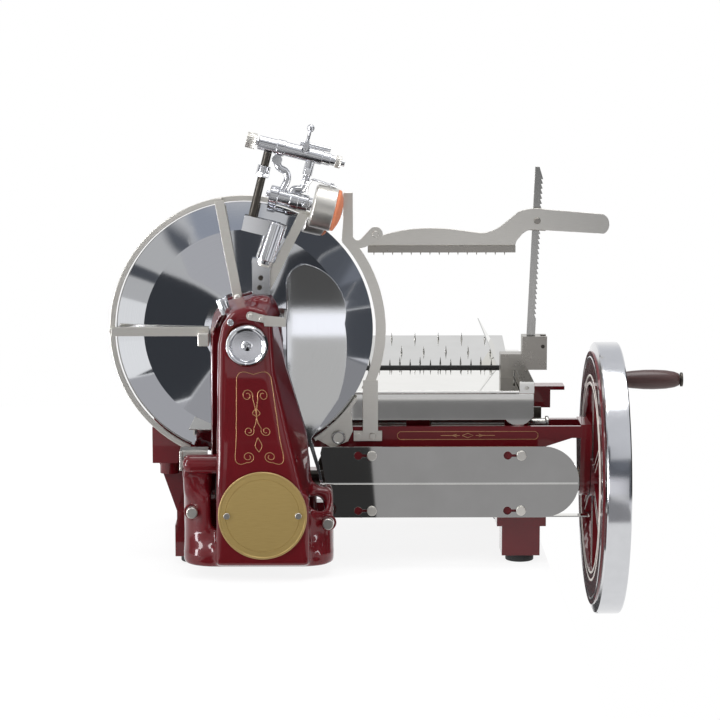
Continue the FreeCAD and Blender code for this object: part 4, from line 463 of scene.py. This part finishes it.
# Oiled dark steel: brown black, with smears of oil every 6 mm that shine more or less.
dark, tree, shader = new_finish("oiled_steel", Metallic=1.0, Roughness=0.35)
place = add(tree, "TexCoord").outputs["Object"]
smear = add(tree, "TexNoise", {"Scale": 1 / 0.006, "Detail": 4}, {"Vector": place})
tone = add(tree, "MixRGB", {"Color1": linear("#3a3733"), "Color2": linear("#5c5852")},
           {"Fac": smear.outputs["Fac"]})
tree.links.new(tone.outputs["Color"], shader.inputs["Base Color"])
gloss = add(tree, "MapRange", {"To Min": 0.2, "To Max": 0.5}, {"Value": smear.outputs["Fac"]})
tree.links.new(gloss.outputs["Result"], shader.inputs["Roughness"])
eased("feed_screw", dark, 0.0003)

# ---------------------------------------------------------------- meat clamp
# The block on the table, its spring catch, the leaning toothed rack, and the shoe on it with the
# flat arm and its toothed strip. They are milled from flat steel: the catch is oiled, the rack
# ground, and the rest nickel plated.

# Nickel plate gone dull with years of use: greyer and darker than the new plate, with a soft gloss.
aged, tree, shader = new_finish("aged_nickel", Metallic=1.0, Roughness=0.3)
place = add(tree, "TexCoord").outputs["Object"]
cloud = add(tree, "TexNoise", {"Scale": 1 / 0.012, "Detail": 4}, {"Vector": place})
tone = add(tree, "MixRGB", {"Color1": linear("#98948d"), "Color2": linear("#aba7a0")},
           {"Fac": cloud.outputs["Fac"]})
tree.links.new(tone.outputs["Color"], shader.inputs["Base Color"])
dull = add(tree, "MapRange", {"To Min": 0.22, "To Max": 0.36}, {"Value": cloud.outputs["Fac"]})
tree.links.new(dull.outputs["Result"], shader.inputs["Roughness"])
eased("rack_block", aged, 0.0012)
eased("rack_latch", dark)
eased("rack_bar", ground, 0.0004)
eased("rack_shoe", aged, 0.0008)
eased("clamp_arm", satin, 0.0009)
eased("tooth_strip", aged, 0.0002)

# ---------------------------------------------------------------- blade
# The dished round blade, forged in tool steel, with a wide ground bevel that meets the dish in a
# crisp ridge. It is clamped by its disc from behind.
BLADE_X, BLADE_Z = -141, 300

# Mirror steel: hardened, ground and polished to a cool, sharp mirror with hair-fine turning marks
# round its centre, drawn 0.6 mm apart so that they show.
mirror, tree, shader = new_finish("mirror_steel", Metallic=1.0, Roughness=0.04)
place = add(tree, "TexCoord").outputs["Object"]
reach = add(tree, "VectorMath", {1: (BLADE_X / 1000, -0.16, BLADE_Z / 1000)}, {0: place},
            operation="DISTANCE")
marks = add(tree, "TexNoise", {"Scale": 1 / 0.0006, "Detail": 2}, {"W": reach.outputs["Value"]},
            noise_dimensions="1D")
tone = add(tree, "MixRGB", {"Color1": linear("#c6c9cd"), "Color2": linear("#dcdde0")},
           {"Fac": marks.outputs["Fac"]})
tree.links.new(tone.outputs["Color"], shader.inputs["Base Color"])
gloss = add(tree, "MapRange", {"To Min": 0.02, "To Max": 0.07}, {"Value": marks.outputs["Fac"]})
tree.links.new(gloss.outputs["Result"], shader.inputs["Roughness"])
blade = lathe("blade_dish", [(12, -166), (50, -166), (125.4, -158.5), (160, -151), (159.4, -150.99),
                             (125.4, -155), (50, -162.5), (12, -162.5), (12, -166)],
              (BLADE_X, 0, BLADE_Z), steps=256, smooth=4)
seat(blade, "blade", mirror, "polished_steel", "blade")
eased("blade_flange", ground, 0.0008)

# ---------------------------------------------------------------- hub cap and oil cups
# The pressed and chromed cap over the front bearing, a bright rolled rim round a shallow dish, and
# the turned and chromed oil cups on the head.

# Chrome plate: a hard, nearly white mirror with the least haze of handling.
chrome, tree, shader = new_finish("chrome_plate", Metallic=1.0, Roughness=0.1)
place = add(tree, "TexCoord").outputs["Object"]
cloud = add(tree, "TexNoise", {"Scale": 1 / 0.018, "Detail": 4}, {"Vector": place})
tone = add(tree, "MixRGB", {"Color1": linear("#c6c7ca"), "Color2": linear("#d2d3d6")},
           {"Fac": cloud.outputs["Fac"]})
tree.links.new(tone.outputs["Color"], shader.inputs["Base Color"])
gloss = add(tree, "MapRange", {"To Min": 0.1, "To Max": 0.18}, {"Value": cloud.outputs["Fac"]})
tree.links.new(gloss.outputs["Result"], shader.inputs["Roughness"])
cap = lathe("hub_cap_turned", [(26, -248), (26, -255.5), (25, -258.6), (23.4, -260.6), (21.8, -261),
                               (20.4, -260), (19.4, -257.0), (18.2, -255.6), (17.2, -255.6), (12, -255.66),
                               (6.4, -255.7), (5.2, -256.5), (3.2, -257.3), (0, -257.5)],
            (-135, 0, 294), steps=128)
seat(cap, "frame", chrome, "chrome", "hub_cap")
eased("oil_cups", chrome, 0.0008)

# ---------------------------------------------------------------- guards, deflector and tray
# The ring round the blade's far edge on its straps and clamps, the crescent before its near edge,
# the lower guard with its nut, and the tray's hanger plate, all of nickel-plated steel sheet. The
# deflector that turns the slices away is polished sheet.
eased("guard_ring", satin)
eased("guard_straps", satin, 0.0004)
eased("strap_clamps", satin, 0.0010)
eased("rim_guard", satin, 0.0005)
eased("guard_brackets", satin, 0.0004)
eased("lower_guard", satin, 0.0005)
washer("nut_ring", (-24, -157.2, 163.4), 7.4, 1.2, chrome)
eased("slice_deflector", mirror, 0.0004)
eased("slice_tray", satin)

# ---------------------------------------------------------------- flywheel
# The spoked wheel, cast iron in enamel, with a chromed steel band on its rim and white lines
# drawn by hand on its left face, beside the rim and along the spokes. A lacquered wooden grip
# turns on the handle's pin.
eased("wheel_casting", enamel, 0.0012)
# The wheel's axis, and where the lines on its felloe and on its spokes lie, in mm.
WHEEL_Y, WHEEL_Z, FELLOE_LINES, SPOKE_LINES = -121, 105, 295.9, 298.95

# White lining enamel: a warm white, worn greyer in patches of about 4 mm.
white_line, tree, shader = new_finish("white_lining", Roughness=0.35)
place = add(tree, "TexCoord").outputs["Object"]
wear = add(tree, "TexNoise", {"Scale": 1 / 0.004, "Detail": 3}, {"Vector": place})
tone = add(tree, "MixRGB", {"Color1": linear("#d9d2c8"), "Color2": linear("#f2ede6")},
           {"Fac": wear.outputs["Fac"]})
tree.links.new(tone.outputs["Color"], shader.inputs["Base Color"])
for number, radius in enumerate((130, 120.5)):
    bpy.ops.object.select_all(action="DESELECT")
    bpy.ops.mesh.primitive_torus_add(major_radius=radius / 1000, minor_radius=0.0015, major_segments=128,
                                     minor_segments=8)
    ring = bpy.context.object
    ring.name = ring.data.name = "wheel_line_%d" % (number + 1)
    work_on(ring)
    bpy.ops.transform.rotate(value=math.pi / 2, orient_axis="Y", center_override=(0, 0, 0))
    bpy.ops.transform.resize(value=(0.3, 1, 1), center_override=(0, 0, 0))
    bpy.ops.transform.translate(value=(FELLOE_LINES / 1000, WHEEL_Y / 1000, WHEEL_Z / 1000))
    seat(ring, "flywheel", white_line, "burgundy_enamel")
spoke_lines = []
for spoke in range(6):
    lean = math.radians(60 * spoke)
    for off in (-5.5, 5.5):
        spoke_lines.append([(WHEEL_Y + r * math.sin(lean) + off * math.cos(lean),
                             WHEEL_Z + r * math.cos(lean) - off * math.sin(lean)) for r in (34, 112)])
lining("wheel_spoke_lines", spoke_lines, 1.6, SPOKE_LINES, white_line, "flywheel", "burgundy_enamel",
       across="Y")
rim_band = lathe("rim_band", [(161, 302), (161, 329), (162.5, 330.5), (171, 330.5), (172.3, 329),
                              (172.5, 326), (172.5, 305), (172.3, 302), (171, 300.5), (161, 298.2),
                              (153, 295.5), (151.6, 295.9), (152, 298), (161, 302)],
                 (0, WHEEL_Y, WHEEL_Z), axis="X", steps=192)
seat(rim_band, "flywheel", chrome, "chrome", "wheel_rim")
eased("main_shaft", dark)
eased("handle_pin", dark)

# Lacquered hardwood: nearly black red brown, with grain 40 mm long and 1.5 mm apart along the grip.
wood, tree, shader = new_finish("lacquered_wood", Roughness=0.45, Coat_Weight=0.3, Coat_Roughness=0.15)
place = add(tree, "TexCoord").outputs["Object"]
stretch = add(tree, "Mapping", {"Scale": (1 / 0.04, 1 / 0.0015, 1 / 0.0015)}, {"Vector": place})
grain = add(tree, "TexNoise", {"Scale": 1.0, "Detail": 4}, {"Vector": stretch.outputs["Vector"]})
tone = add(tree, "MixRGB", {"Color1": linear("#2e1412"), "Color2": linear("#4e2a25")},
           {"Fac": grain.outputs["Fac"]})
tree.links.new(tone.outputs["Color"], shader.inputs["Base Color"])
grip = lathe("grip_turned", [(6.2, 331.5), (9, 331.5), (10.6, 333), (10, 338), (11.2, 348), (12.3, 362),
                             (12.5, 375), (11.8, 390), (10, 401), (7.8, 406.5), (6.2, 407.5), (6.2, 331.5)],
             (0, WHEEL_Y, 231), axis="X", steps=64)
seat(grip, "grip", wood, "dark_wood", "handle_grip")

# ---------------------------------------------------------------- chain cover
# The polished sheet over the carriage chain, with one fold along its middle. It is hung by four
# keyholes, each an eye and a slit, on screws that stand in round lugs of the frame's casting.
COVER_FACE, SCREW_X, SCREW_Z = -175.5, (17.4, 204.3), (143.8, 73.6)
cover = copied("chain_cover", "chain_cover_cut")
bpy.ops.object.mode_set(mode="OBJECT")
for x in SCREW_X:
    for z in SCREW_Z:
        for shape, size, offset in (("eye", 0.0052, 17), ("slit", 0.0032, 9)):
            bpy.ops.object.select_all(action="DESELECT")
            where = ((x - offset) / 1000, COVER_FACE / 1000, z / 1000)
            if shape == "eye":
                bpy.ops.mesh.primitive_cylinder_add(vertices=48, radius=size, depth=0.02, location=where,
                                                    rotation=(math.pi / 2, 0, 0))
            else:
                bpy.ops.mesh.primitive_cube_add(size=1, location=where, scale=(0.014, 0.02, size))
            cutter = bpy.context.object
            bpy.ops.object.select_all(action="DESELECT")
            cover.select_set(True)
            bpy.context.view_layer.objects.active = cover
            modify(cover, "BOOLEAN", object=cutter, operation="DIFFERENCE", solver="EXACT")
            bpy.data.objects.remove(cutter)
modify(cover, "BEVEL", width=0.0004, segments=2, limit_method="ANGLE", angle_limit=math.radians(40))
seat(cover, "frame", polished, "polished_steel", "chain_cover")

fold = traced("cover_fold", [(-47, -175.95, 107.2), (-47, -176.45, 107.9), (-47, -176.45, 108.5),
                             (-47, -175.95, 109.2)])
bpy.ops.mesh.extrude_region_move(TRANSFORM_OT_translate={"value": (0.3225, 0, 0)})
bpy.ops.mesh.select_all(action="SELECT")
bpy.ops.mesh.normals_make_consistent(inside=False)
seat(fold, "frame", polished, "polished_steel")


def bar(name, start, end, radius, vertices=32, ease=0.0005):
    """A round or many-sided bar between two points in mm, its ends chamfered."""
    start, end = Vector(start) / 1000, Vector(end) / 1000
    way = end - start
    bpy.ops.object.select_all(action="DESELECT")
    bpy.ops.mesh.primitive_cylinder_add(vertices=vertices, radius=radius / 1000, depth=way.length,
                                        location=(start + end) / 2,
                                        rotation=way.to_track_quat("Z", "Y").to_euler())
    piece = bpy.context.object
    piece.name = piece.data.name = name
    bpy.ops.object.transform_apply(location=True, rotation=True, scale=True)
    modify(piece, "BEVEL", width=ease, segments=2, limit_method="ANGLE", angle_limit=math.radians(40))
    bpy.ops.object.shade_smooth_by_angle(angle=math.radians(50))
    modify(piece, "WEIGHTED_NORMAL", keep_sharp=True, weight=100)
    return piece


for x in SCREW_X:
    for z in SCREW_Z:
        lug = bar("cover_lug_%d_%d" % (x, z), (x - 13, -173.2, z), (x - 13, -164, z), 9.5, 48)
        seat(lug, "frame", enamel, "burgundy_enamel")

# ---------------------------------------------------------------- sharpener
# Turned and chromed steel on a stout post. The head leans 14 degrees to the right on its dark rod:
# its tube with knurled knobs, two cranked arms, and the barrel that carries the drum and stone.
eased("sharpener_pedestal", chrome, 0.0012)
post = bar("post_barrel", (-114, -188, 391), (-98.5, -188, 437), 12.5, 96, 0.0012)
seat(post, "frame", chrome, "chrome")
seat(bar("post_collar", (-116, -188, 384), (-113.6, -188, 392), 10.5, 64), "frame", satin, "chrome")
for x, z in ((-119.5, 370), (-121, 358)):
    seat(bar("leg_head_%d" % z, (x, -198.5, z), (x, -196, z), 3.1), "frame", dark, "chrome")

LEAN = Matrix.Translation((-0.129, -0.188, 0.448)) @ Matrix.Rotation(math.radians(14), 4, "Y")


def leaning(piece):
    """A piece built about the sharpener's own axes, moved to where it leans."""
    bpy.ops.object.mode_set(mode="OBJECT")
    piece.data.transform(LEAN)
    return piece


def bent(name, points, radius, flat=1.0):
    """A bent bar along a smooth path of (u, w) in mm; flat squeezes it from front to back."""
    piece = swept(name, [[(u / 1000, 0, w / 1000) for u, w in flowing(points, 8)]], radius / 1000, 5, True)
    bpy.ops.transform.resize(value=(1, flat, 1), center_override=(0, 0, 0))
    bpy.ops.mesh.normals_make_consistent(inside=False)
    bpy.ops.object.mode_set(mode="OBJECT")
    bpy.ops.object.shade_smooth_by_angle(angle=math.radians(40))
    return piece


# In the leaning frame: heights of the head tube's, the link tube's and the stone's axes, how far back
# the link tube lies so that the lever clears it, and where the two arms stand.
TUBE, LINK, AXLE, LINK_BACK, LEFT_ARM, RIGHT_ARM = 87, 98, 28.5, 11.5, 13, 53
head_parts = [
    lathe("head_tube", [(0, -14), (8, -14), (8.8, -13.2), (8.8, 9), (9.9, 9.5), (9.9, 19.5), (8.8, 20),
                        (8.8, 66), (7.6, 66.6), (7.6, 76), (6.4, 76.6), (6.4, 82), (0, 82)],
          (0, 0, TUBE), axis="X"),
    lathe("link_tube", [(0, 36), (2.6, 36), (3, 36.6), (3, 73.4), (2.6, 74), (0, 74)],
          (0, LINK_BACK, LINK), axis="X"),
    lathe("stone_barrel", [(0, 14), (11, 14), (12, 15), (12, 24), (11, 25), (10, 25.5), (10, 40), (11, 40.5),
                           (11, 50), (10, 50.5), (10, 62), (8, 63), (8, 67), (0, 67)],
          (0, 0, AXLE), axis="X"),
    bar("collar_body", (0, 0, 52), (0, 0, 61), 8.2),
    bar("collar_nut", (0, 0, 47), (0, 0, 52.5), 9.4, 6, 0.0008),
    bar("crank_joint", (LEFT_ARM, -6, 72), (LEFT_ARM, 6, 72), 6.5),
    bent("left_crank", [(LEFT_ARM, 74), (17, 64), (27, 60), (31, 52), (29, 40), (26, 33)], 4.6),
    bar("right_leg", (RIGHT_ARM, 0, 82), (RIGHT_ARM, 0, 62), 6.2, 8, 0.001),
    bar("leg_screw", (RIGHT_ARM, -7.6, 67), (RIGHT_ARM, -5, 67), 4),
    bar("leg_neck", (RIGHT_ARM, 0, 62), (RIGHT_ARM, 0, 56), 4.4),
    bar("leg_nut", (RIGHT_ARM, 0, 56), (RIGHT_ARM, 0, 50), 6.2, 6, 0.0008),
    bent("right_crank", [(RIGHT_ARM, 51), (51, 44), (42, 41), (39, 33), (30, 31)], 5),
    bar("barrel_screw", (60, -11.5, AXLE), (60, -8.5, AXLE), 5),
    bar("barrel_screw_eye", (60, -12, AXLE), (60, -11, AXLE), 2.6)]
for part in head_parts:
    leaning(part)
    seat(part, "sharpener", chrome, "chrome")
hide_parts("sharpener_head")


def knurled(name, near, far, radius, count):
    """A knob whose side is cut in ridges along it."""
    piece = bar(name, (near, 0, TUBE), (far, 0, TUBE), radius, count * 2, 0.0003)
    work_on(piece)
    bpy.ops.mesh.select_mode(type="FACE")
    bpy.ops.mesh.select_all(action="DESELECT")
    bpy.ops.object.mode_set(mode="OBJECT")
    middle = (near + far) / 2000
    sides = [f for f in piece.data.polygons if abs(f.center.x - middle) < 0.001 and f.area > 0.000005
             and abs(f.normal.x) < 0.1]
    sides.sort(key=lambda f: math.atan2(f.center.y, f.center.z - TUBE / 1000))
    for number, face in enumerate(sides):
        face.select = number % 2 == 0
    bpy.ops.object.mode_set(mode="EDIT")
    bpy.ops.mesh.inset(thickness=0.0001, depth=-0.0009, use_individual=True)
    bpy.ops.mesh.select_mode(type="VERT")
    bpy.ops.object.mode_set(mode="OBJECT")
    return leaning(piece)


seat(knurled("knob_left", -29, -17, 9.8, 20), "sharpener_knobs", satin, "chrome", "sharpener_knobs")
seat(knurled("knob_right", 83, 90, 7.6, 16), "sharpener_knobs", satin, "chrome")
seat(leaning(bar("knob_rod", (-18, 0, TUBE), (94.5, 0, TUBE), 4)), "sharpener_knobs", chrome, "chrome")
eased("sharpener_lever", chrome, 0.0005)
drum = leaning(lathe("drum_turned", [(5.2, 68), (24, 68), (26.4, 70), (26.8, 71), (26.8, 94.2), (26.2, 95.6),
                                     (25.4, 95.6), (25.4, 72), (5.2, 69.4), (5.2, 68)],
                     (0, 0, AXLE), axis="X", steps=128))
seat(drum, "sharpener", satin, "chrome", "stone_drum")
loop = leaning(bent("drum_loop", [(58, 41), (57.5, 50), (61, 58), (70, 58.5), (92, 56)], 1.5, 2.4))
seat(loop, "sharpener", chrome, "chrome")
seat(leaning(bar("loop_screw", (86, 0, 54), (86, 0, 60), 2.4)), "sharpener", chrome, "chrome")

# Vitrified abrasive: orange red and quite dull, its grit drawn 0.6 mm coarse so that it shows.
stone, tree, shader = new_finish("vitrified_stone", Roughness=0.85)
place = add(tree, "TexCoord").outputs["Object"]
grit = add(tree, "TexNoise", {"Scale": 1 / 0.0006, "Detail": 3}, {"Vector": place})
tone = add(tree, "MixRGB", {"Color1": linear("#b85f3b"), "Color2": linear("#dd8d66")},
           {"Fac": grit.outputs["Fac"]})
tree.links.new(tone.outputs["Color"], shader.inputs["Base Color"])
wheel = leaning(lathe("stone_turned", [(4.2, 95), (25.2, 95), (25.6, 96), (25.6, 98.5), (24.6, 100),
                                       (16, 103.5), (8, 105.4), (4.2, 105.4), (4.2, 95)],
                      (0, 0, AXLE), axis="X", steps=128))
seat(wheel, "stone", stone, "abrasive", "sharpening_stone")
seat(leaning(bar("stone_spindle", (10, 0, AXLE), (106, 0, AXLE), 4)), "stone", chrome, "chrome")

# ---------------------------------------------------------------- drive and small parts
# The yoke, shafts, gears, chains and bushes of the drive, and the small parts that keep the plain
# shape they are turned or cut to. Each takes the finish of what it is made of.
eased("drive_yoke", dark)

# Turned bronze: brown gold, mottled every 3 mm by oil.
bronze, tree, shader = new_finish("turned_bronze", Metallic=1.0, Roughness=0.3)
place = add(tree, "TexCoord").outputs["Object"]
cloud = add(tree, "TexNoise", {"Scale": 1 / 0.003, "Detail": 3}, {"Vector": place})
tone = add(tree, "MixRGB", {"Color1": linear("#8f6a35"), "Color2": linear("#b18a4c")},
           {"Fac": cloud.outputs["Fac"]})
tree.links.new(tone.outputs["Color"], shader.inputs["Base Color"])
FINISHES = {"polished_steel": polished, "ground_steel": ground, "dark_steel": dark, "chrome": chrome,
            "satin_nickel": satin, "bronze": bronze, "black_rubber": rubber, "burgundy_enamel": enamel}
for part in frame["record"]["subparts"]:
    node = frame["nodes"][part["node"]]
    if not node.hide_render:
        node.data.materials.clear()
        node.data.materials.append(FINISHES[part["material_slot"]])

# ---------------------------------------------------------------- bench and floor
# A white bench whose right edge lets the wheel hang past it, and a lower white floor, both of plain
# matt paper in a white room.


def studio_sheet(name, size, middle, glow):
    """White paper that keeps its soft shadow and gives off a share of white towards the lens."""
    bpy.ops.object.select_all(action="DESELECT")
    bpy.ops.mesh.primitive_plane_add(size=1, location=middle)
    sheet = bpy.context.object
    sheet.name = name
    sheet.scale = (size[0], size[1], 1)
    paint, tree, shader = new_finish(name, Base_Color=linear("#fbfbfb"), Roughness=0.9,
                                     Specular_IOR_Level=0.0)
    path = add(tree, "LightPath")
    seen = add(tree, "Math", links={0: path.outputs["Is Camera Ray"], 1: path.outputs["Is Glossy Ray"]},
               operation="ADD")
    seen = add(tree, "Math", links={0: seen.outputs["Value"], 1: path.outputs["Is Transmission Ray"]},
               operation="ADD", use_clamp=True)
    share = add(tree, "Math", {1: glow}, {0: seen.outputs["Value"]}, operation="MULTIPLY")
    light = add(tree, "Emission", {"Strength": 1.0})
    both = add(tree, "MixShader", links={0: share.outputs["Value"], 1: shader.outputs["BSDF"],
                                         2: light.outputs["Emission"]})
    tree.links.new(both.outputs["Shader"], tree.nodes["Material Output"].inputs["Surface"])
    sheet.data.materials.append(paint)
    sheet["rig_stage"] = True


studio_sheet("bench_top", (1.64, 2.6), (-0.578, -0.25, 0), 0.87)
studio_sheet("lower_floor", (120, 120), (0, 0, -0.9), 1.0)

# ---------------------------------------------------------------- room and lamps
# A white room, greyer behind the lens and overhead so that metal has something darker to show,
# and two soft lamps: one from the upper left in front, one straight above.
world = bpy.data.worlds.new("studio")
bpy.context.scene.world = world
world.use_nodes = True
sky = world.node_tree
sky.nodes["Background"].inputs["Strength"].default_value = 1.0
way = add(sky, "TexCoord").outputs["Generated"]
split = add(sky, "SeparateXYZ", links={"Vector": way})
front = add(sky, "MapRange", {"From Min": -0.15, "From Max": -0.45}, {"Value": split.outputs["Y"]})
room = add(sky, "MixRGB", {"Color1": (1, 1, 1, 1), "Color2": (0.6, 0.6, 0.6, 1)},
           {"Fac": front.outputs["Result"]})
high = add(sky, "MapRange", {"From Min": 0.2, "From Max": 0.5}, {"Value": split.outputs["Z"]})
over = add(sky, "MixRGB", {"Color2": (0.78, 0.79, 0.82, 1)},
           {"Fac": high.outputs["Result"], "Color1": room.outputs["Color"]})
sky.links.new(over.outputs["Color"], sky.nodes["Background"].inputs["Color"])


def softbox(name, at, target, size, power):
    """A square soft lamp aimed at a point."""
    lamp = bpy.data.lights.new(name, "AREA")
    lamp.shape = "RECTANGLE"
    lamp.size, lamp.size_y = size
    lamp.energy = power
    holder = bpy.data.objects.new(name, lamp)
    holder.location = at
    holder.rotation_euler = (Vector(target) - Vector(at)).to_track_quat("-Z", "Y").to_euler()
    bpy.context.scene.collection.objects.link(holder)


softbox("softbox_left", (-2.2, -1.6, 1.9), (0, 0, 0.25), (0.5, 1.4), 32)
softbox("softbox_top", (0.2, -0.3, 2.6), (0, 0, 0.2), (1.6, 1.6), 40)

# ---------------------------------------------------------------- cards
# Grey and white cards round the lens, as a maker of catalogues sets them for bright metal: each
# gives one band of light or dark in a polished face. Only the metal sees them.
CARD_PLANE, COLUMN_MIDDLE = -1.2, -0.135
PLAIN, BLUE, WARM = (1, 1, 1.04), (0.9, 0.97, 1.12), (1.0, 0.985, 0.95)


def card(name, x, z, level, y=CARD_PLANE, soft=0.004, tint=PLAIN):
    """A card with x, y and z in metres, one of them a number and two of them spans.

    It is upright and faces the machine if y is the number, lies flat if z is, and stands sideways
    and is lit on the column's side alone if x is. Soft is how far its edge fades.
    """
    bpy.ops.object.select_all(action="DESELECT")
    sideways = not isinstance(x, tuple)
    if sideways:
        middle, turn = (x, sum(y) / 2, sum(z) / 2), (0, math.copysign(math.pi / 2, COLUMN_MIDDLE - x), 0)
        size = (z[1] - z[0], y[1] - y[0], 1)
    elif isinstance(y, tuple):
        middle, turn = (sum(x) / 2, sum(y) / 2, z), (0, 0, 0)
        size = (x[1] - x[0], y[1] - y[0], 1)
    else:
        middle, turn = (sum(x) / 2, y, sum(z) / 2), (math.pi / 2, 0, 0)
        size = (x[1] - x[0], z[1] - z[0], 1)
    bpy.ops.mesh.primitive_plane_add(size=1, location=middle, rotation=turn)
    sheet = bpy.context.object
    sheet.name = name
    sheet.scale = size
    paint, tree, shader = new_finish(name)
    light = add(tree, "Emission", {"Strength": 1.0, "Color": [level * part for part in tint] + [1]})
    place = add(tree, "TexCoord").outputs["Object"]
    split = add(tree, "SeparateXYZ", links={"Vector": place})
    fades = []
    for axis, length in (("X", size[0]), ("Y", size[1])):
        off = add(tree, "Math", links={0: split.outputs[axis]}, operation="ABSOLUTE")
        fades.append(add(tree, "MapRange", {"From Min": 0.5, "From Max": 0.5 - min(0.5, soft / length)},
                         {"Value": off.outputs["Value"]}, interpolation_type="SMOOTHSTEP"))
    fade = add(tree, "Math", links={0: fades[0].outputs["Result"], 1: fades[1].outputs["Result"]},
               operation="MULTIPLY")
    if sideways:
        behind = add(tree, "NewGeometry").outputs["Backfacing"]
        fade = add(tree, "Math", links={0: fade.outputs["Value"], 1: behind}, operation="SUBTRACT",
                   use_clamp=True)
    clear = add(tree, "BsdfTransparent")
    both = add(tree, "MixShader", links={0: fade.outputs["Value"], 1: clear.outputs["BSDF"],
                                         2: light.outputs["Emission"]})
    tree.links.new(both.outputs["Shader"], tree.nodes["Material Output"].inputs["Surface"])
    sheet.data.materials.append(paint)
    sheet.visible_camera = sheet.visible_diffuse = sheet.visible_shadow = False
    sheet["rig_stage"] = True


# The blade's dish and bevel: wedges of dark and light round its centre.
card("card_dish_left", (-0.62, -0.33), (-0.12, 0.38), 0.055, soft=0.015, tint=BLUE)
card("card_dish_top", (-0.215, -0.10), (0.42, 0.55), 0.07, tint=BLUE)
card("card_dish_light", (-0.417, -0.222), (0.385, 0.55), 0.55, soft=0.01)
card("card_dish_right", (0.0, 0.16), (0.30, 0.46), 0.05, tint=BLUE)
card("card_bevel_right", (0.44, 0.90), (-0.1, 0.62), 0.09, soft=0.02, tint=BLUE)
card("card_bevel_middle", (0.28, 0.52), (0.26, 0.60), 0.14, soft=0.02, tint=BLUE)
card("card_bevel_upper", (0.06, 0.375), (0.46, 0.86), 0.085, soft=0.01, tint=BLUE)
card("card_bevel_sheen", (0.385, 0.47), (0.40, 0.60), 0.24, -1.19, soft=0.03, tint=BLUE)
card("card_bevel_top", (-0.52, -0.05), (0.66, 0.86), 0.42, soft=0.08, tint=BLUE)
card("card_bevel_corner", (-0.64, -0.46), (0.60, 0.74), 0.14, soft=0.06, tint=BLUE)
card("card_bevel_left", (-0.88, -0.70), (0.43, 0.51), 0.10, soft=0.02, tint=BLUE)
# The deflector: dark above, one bright band, and warm grey below.
card("card_deflector", (-0.14, 0.0), (0.19, 0.40), 0.10, soft=0.012, tint=WARM)
card("card_deflector_low", (-0.10, 0.0), (-0.1, 0.15), 0.62, tint=WARM)
card("card_deflector_gap", (-0.10, 0.0), (0.15, 0.19), 1.4)
# The column and its cap, the clamp's arm, the carriage's skirt, and the sharpener.
card("card_column", (-0.315, -0.10), (0.0, 0.115), 0.02)
card("card_cap", (-0.25, -0.101), (0.105, 0.18), 1.0, -1.19)
card("card_head", (-0.315, -0.10), (0.172, 0.25), 0.05)
card("card_arm", (0.0, 0.45), (0.062, 0.32), 1.0)
card("card_skirt", (0.0, 0.39), (0.034, 0.064), 0.66)
card("card_skirt_low", (0.0, 0.39), (-0.02, 0.037), 0.2)
card("card_sharpener", (-0.42, 0.10), (0.88, 1.3), 0.16, -1.15, soft=0.04)
# Flat on the bench, for faces that look down at it.
card("card_bench_column", (-0.215, -0.06), 0.002, 0.02, (-1.2, -0.262))
card("card_bench_plinth", (-0.242, -0.20), 0.003, 0.03, (-0.65, -0.262))
card("card_bench_wedge", (-0.33, -0.205), 0.0015, 0.42, (-0.98, -0.64), soft=0.01)
card("card_bench_bevel", (-0.66, -0.23), 0.001, 0.5, (-0.80, -0.36), soft=0.01)
card("card_bench_left", (-0.62, -0.322), 0.002, 0.055, (-1.4, -0.80), soft=0.012, tint=BLUE)
card("card_bench_tail", (-0.064, 0.028), 0.002, 0.5, (-1.55, -1.15))
card("card_bench_corner", (-0.064, 0.030), 0.003, 0.035, (-1.16, -0.262))
card("card_bench_cover", (0.015, 0.394), 0.001, 0.33, (-1.4, -0.45))
card("card_bench_shine", (-1.38, -0.76), 0.004, 24.0, (-0.90, -0.50))
# Round the wheel, and to the sides for the highlights along rounded edges.
card("card_wheel_near", (0.39, 0.90), 0.002, 0.34, (-0.62, -0.45), soft=0.02)
card("card_wheel_far", (0.39, 0.90), 0.002, 0.8, (-1.1, -0.62), soft=0.03)
card("card_behind_wheel", (0.02, 0.285), 0.003, 0.02, (0.3, 1.8))
card("card_under_wheel", (0.02, 0.27), (-0.40, -0.003), 0.06, 0.5)
card("card_highlight_left", (-2.3, -1.45), (-0.3, 0.7), 20.0, -0.98)
card("card_highlight_right", (1.2, 1.32), (0.0, 1.1), 12.0, -0.95)
card("card_flank", -0.056, (0.10, 0.335), 0.015, (-0.24, -0.19))
card("card_right_side", 1.0, (0.0, 0.9), 0.04, (-0.75, 0.6))
card("card_left_side", -1.25, (0.05, 0.9), 0.25, (-0.55, 0.1))
card("card_overhead", (-0.7, 0.3), 1.5, 0.12, (-0.55, -0.25), soft=0.03)

# ---------------------------------------------------------------- camera
# A long lens 3.4 m away, above the machine, tilted 8.5 degrees down and turned 0.6 degrees to the
# right. Its colours are shown as they are, without a film's curve.
TILT_DOWN, TURN_RIGHT = 0.148, 0.011
lens = bpy.data.cameras.new("lens")
lens.sensor_width = 36
lens.lens = 132.27
camera = bpy.data.objects.new("camera", lens)
camera.location = (-0.0331, -3.4252, 0.7492)
camera.rotation_euler = (math.pi / 2 - TILT_DOWN, 0, -TURN_RIGHT)
bpy.context.scene.collection.objects.link(camera)
bpy.context.scene.camera = camera
bpy.context.scene.view_settings.view_transform = "Standard"

low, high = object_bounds()
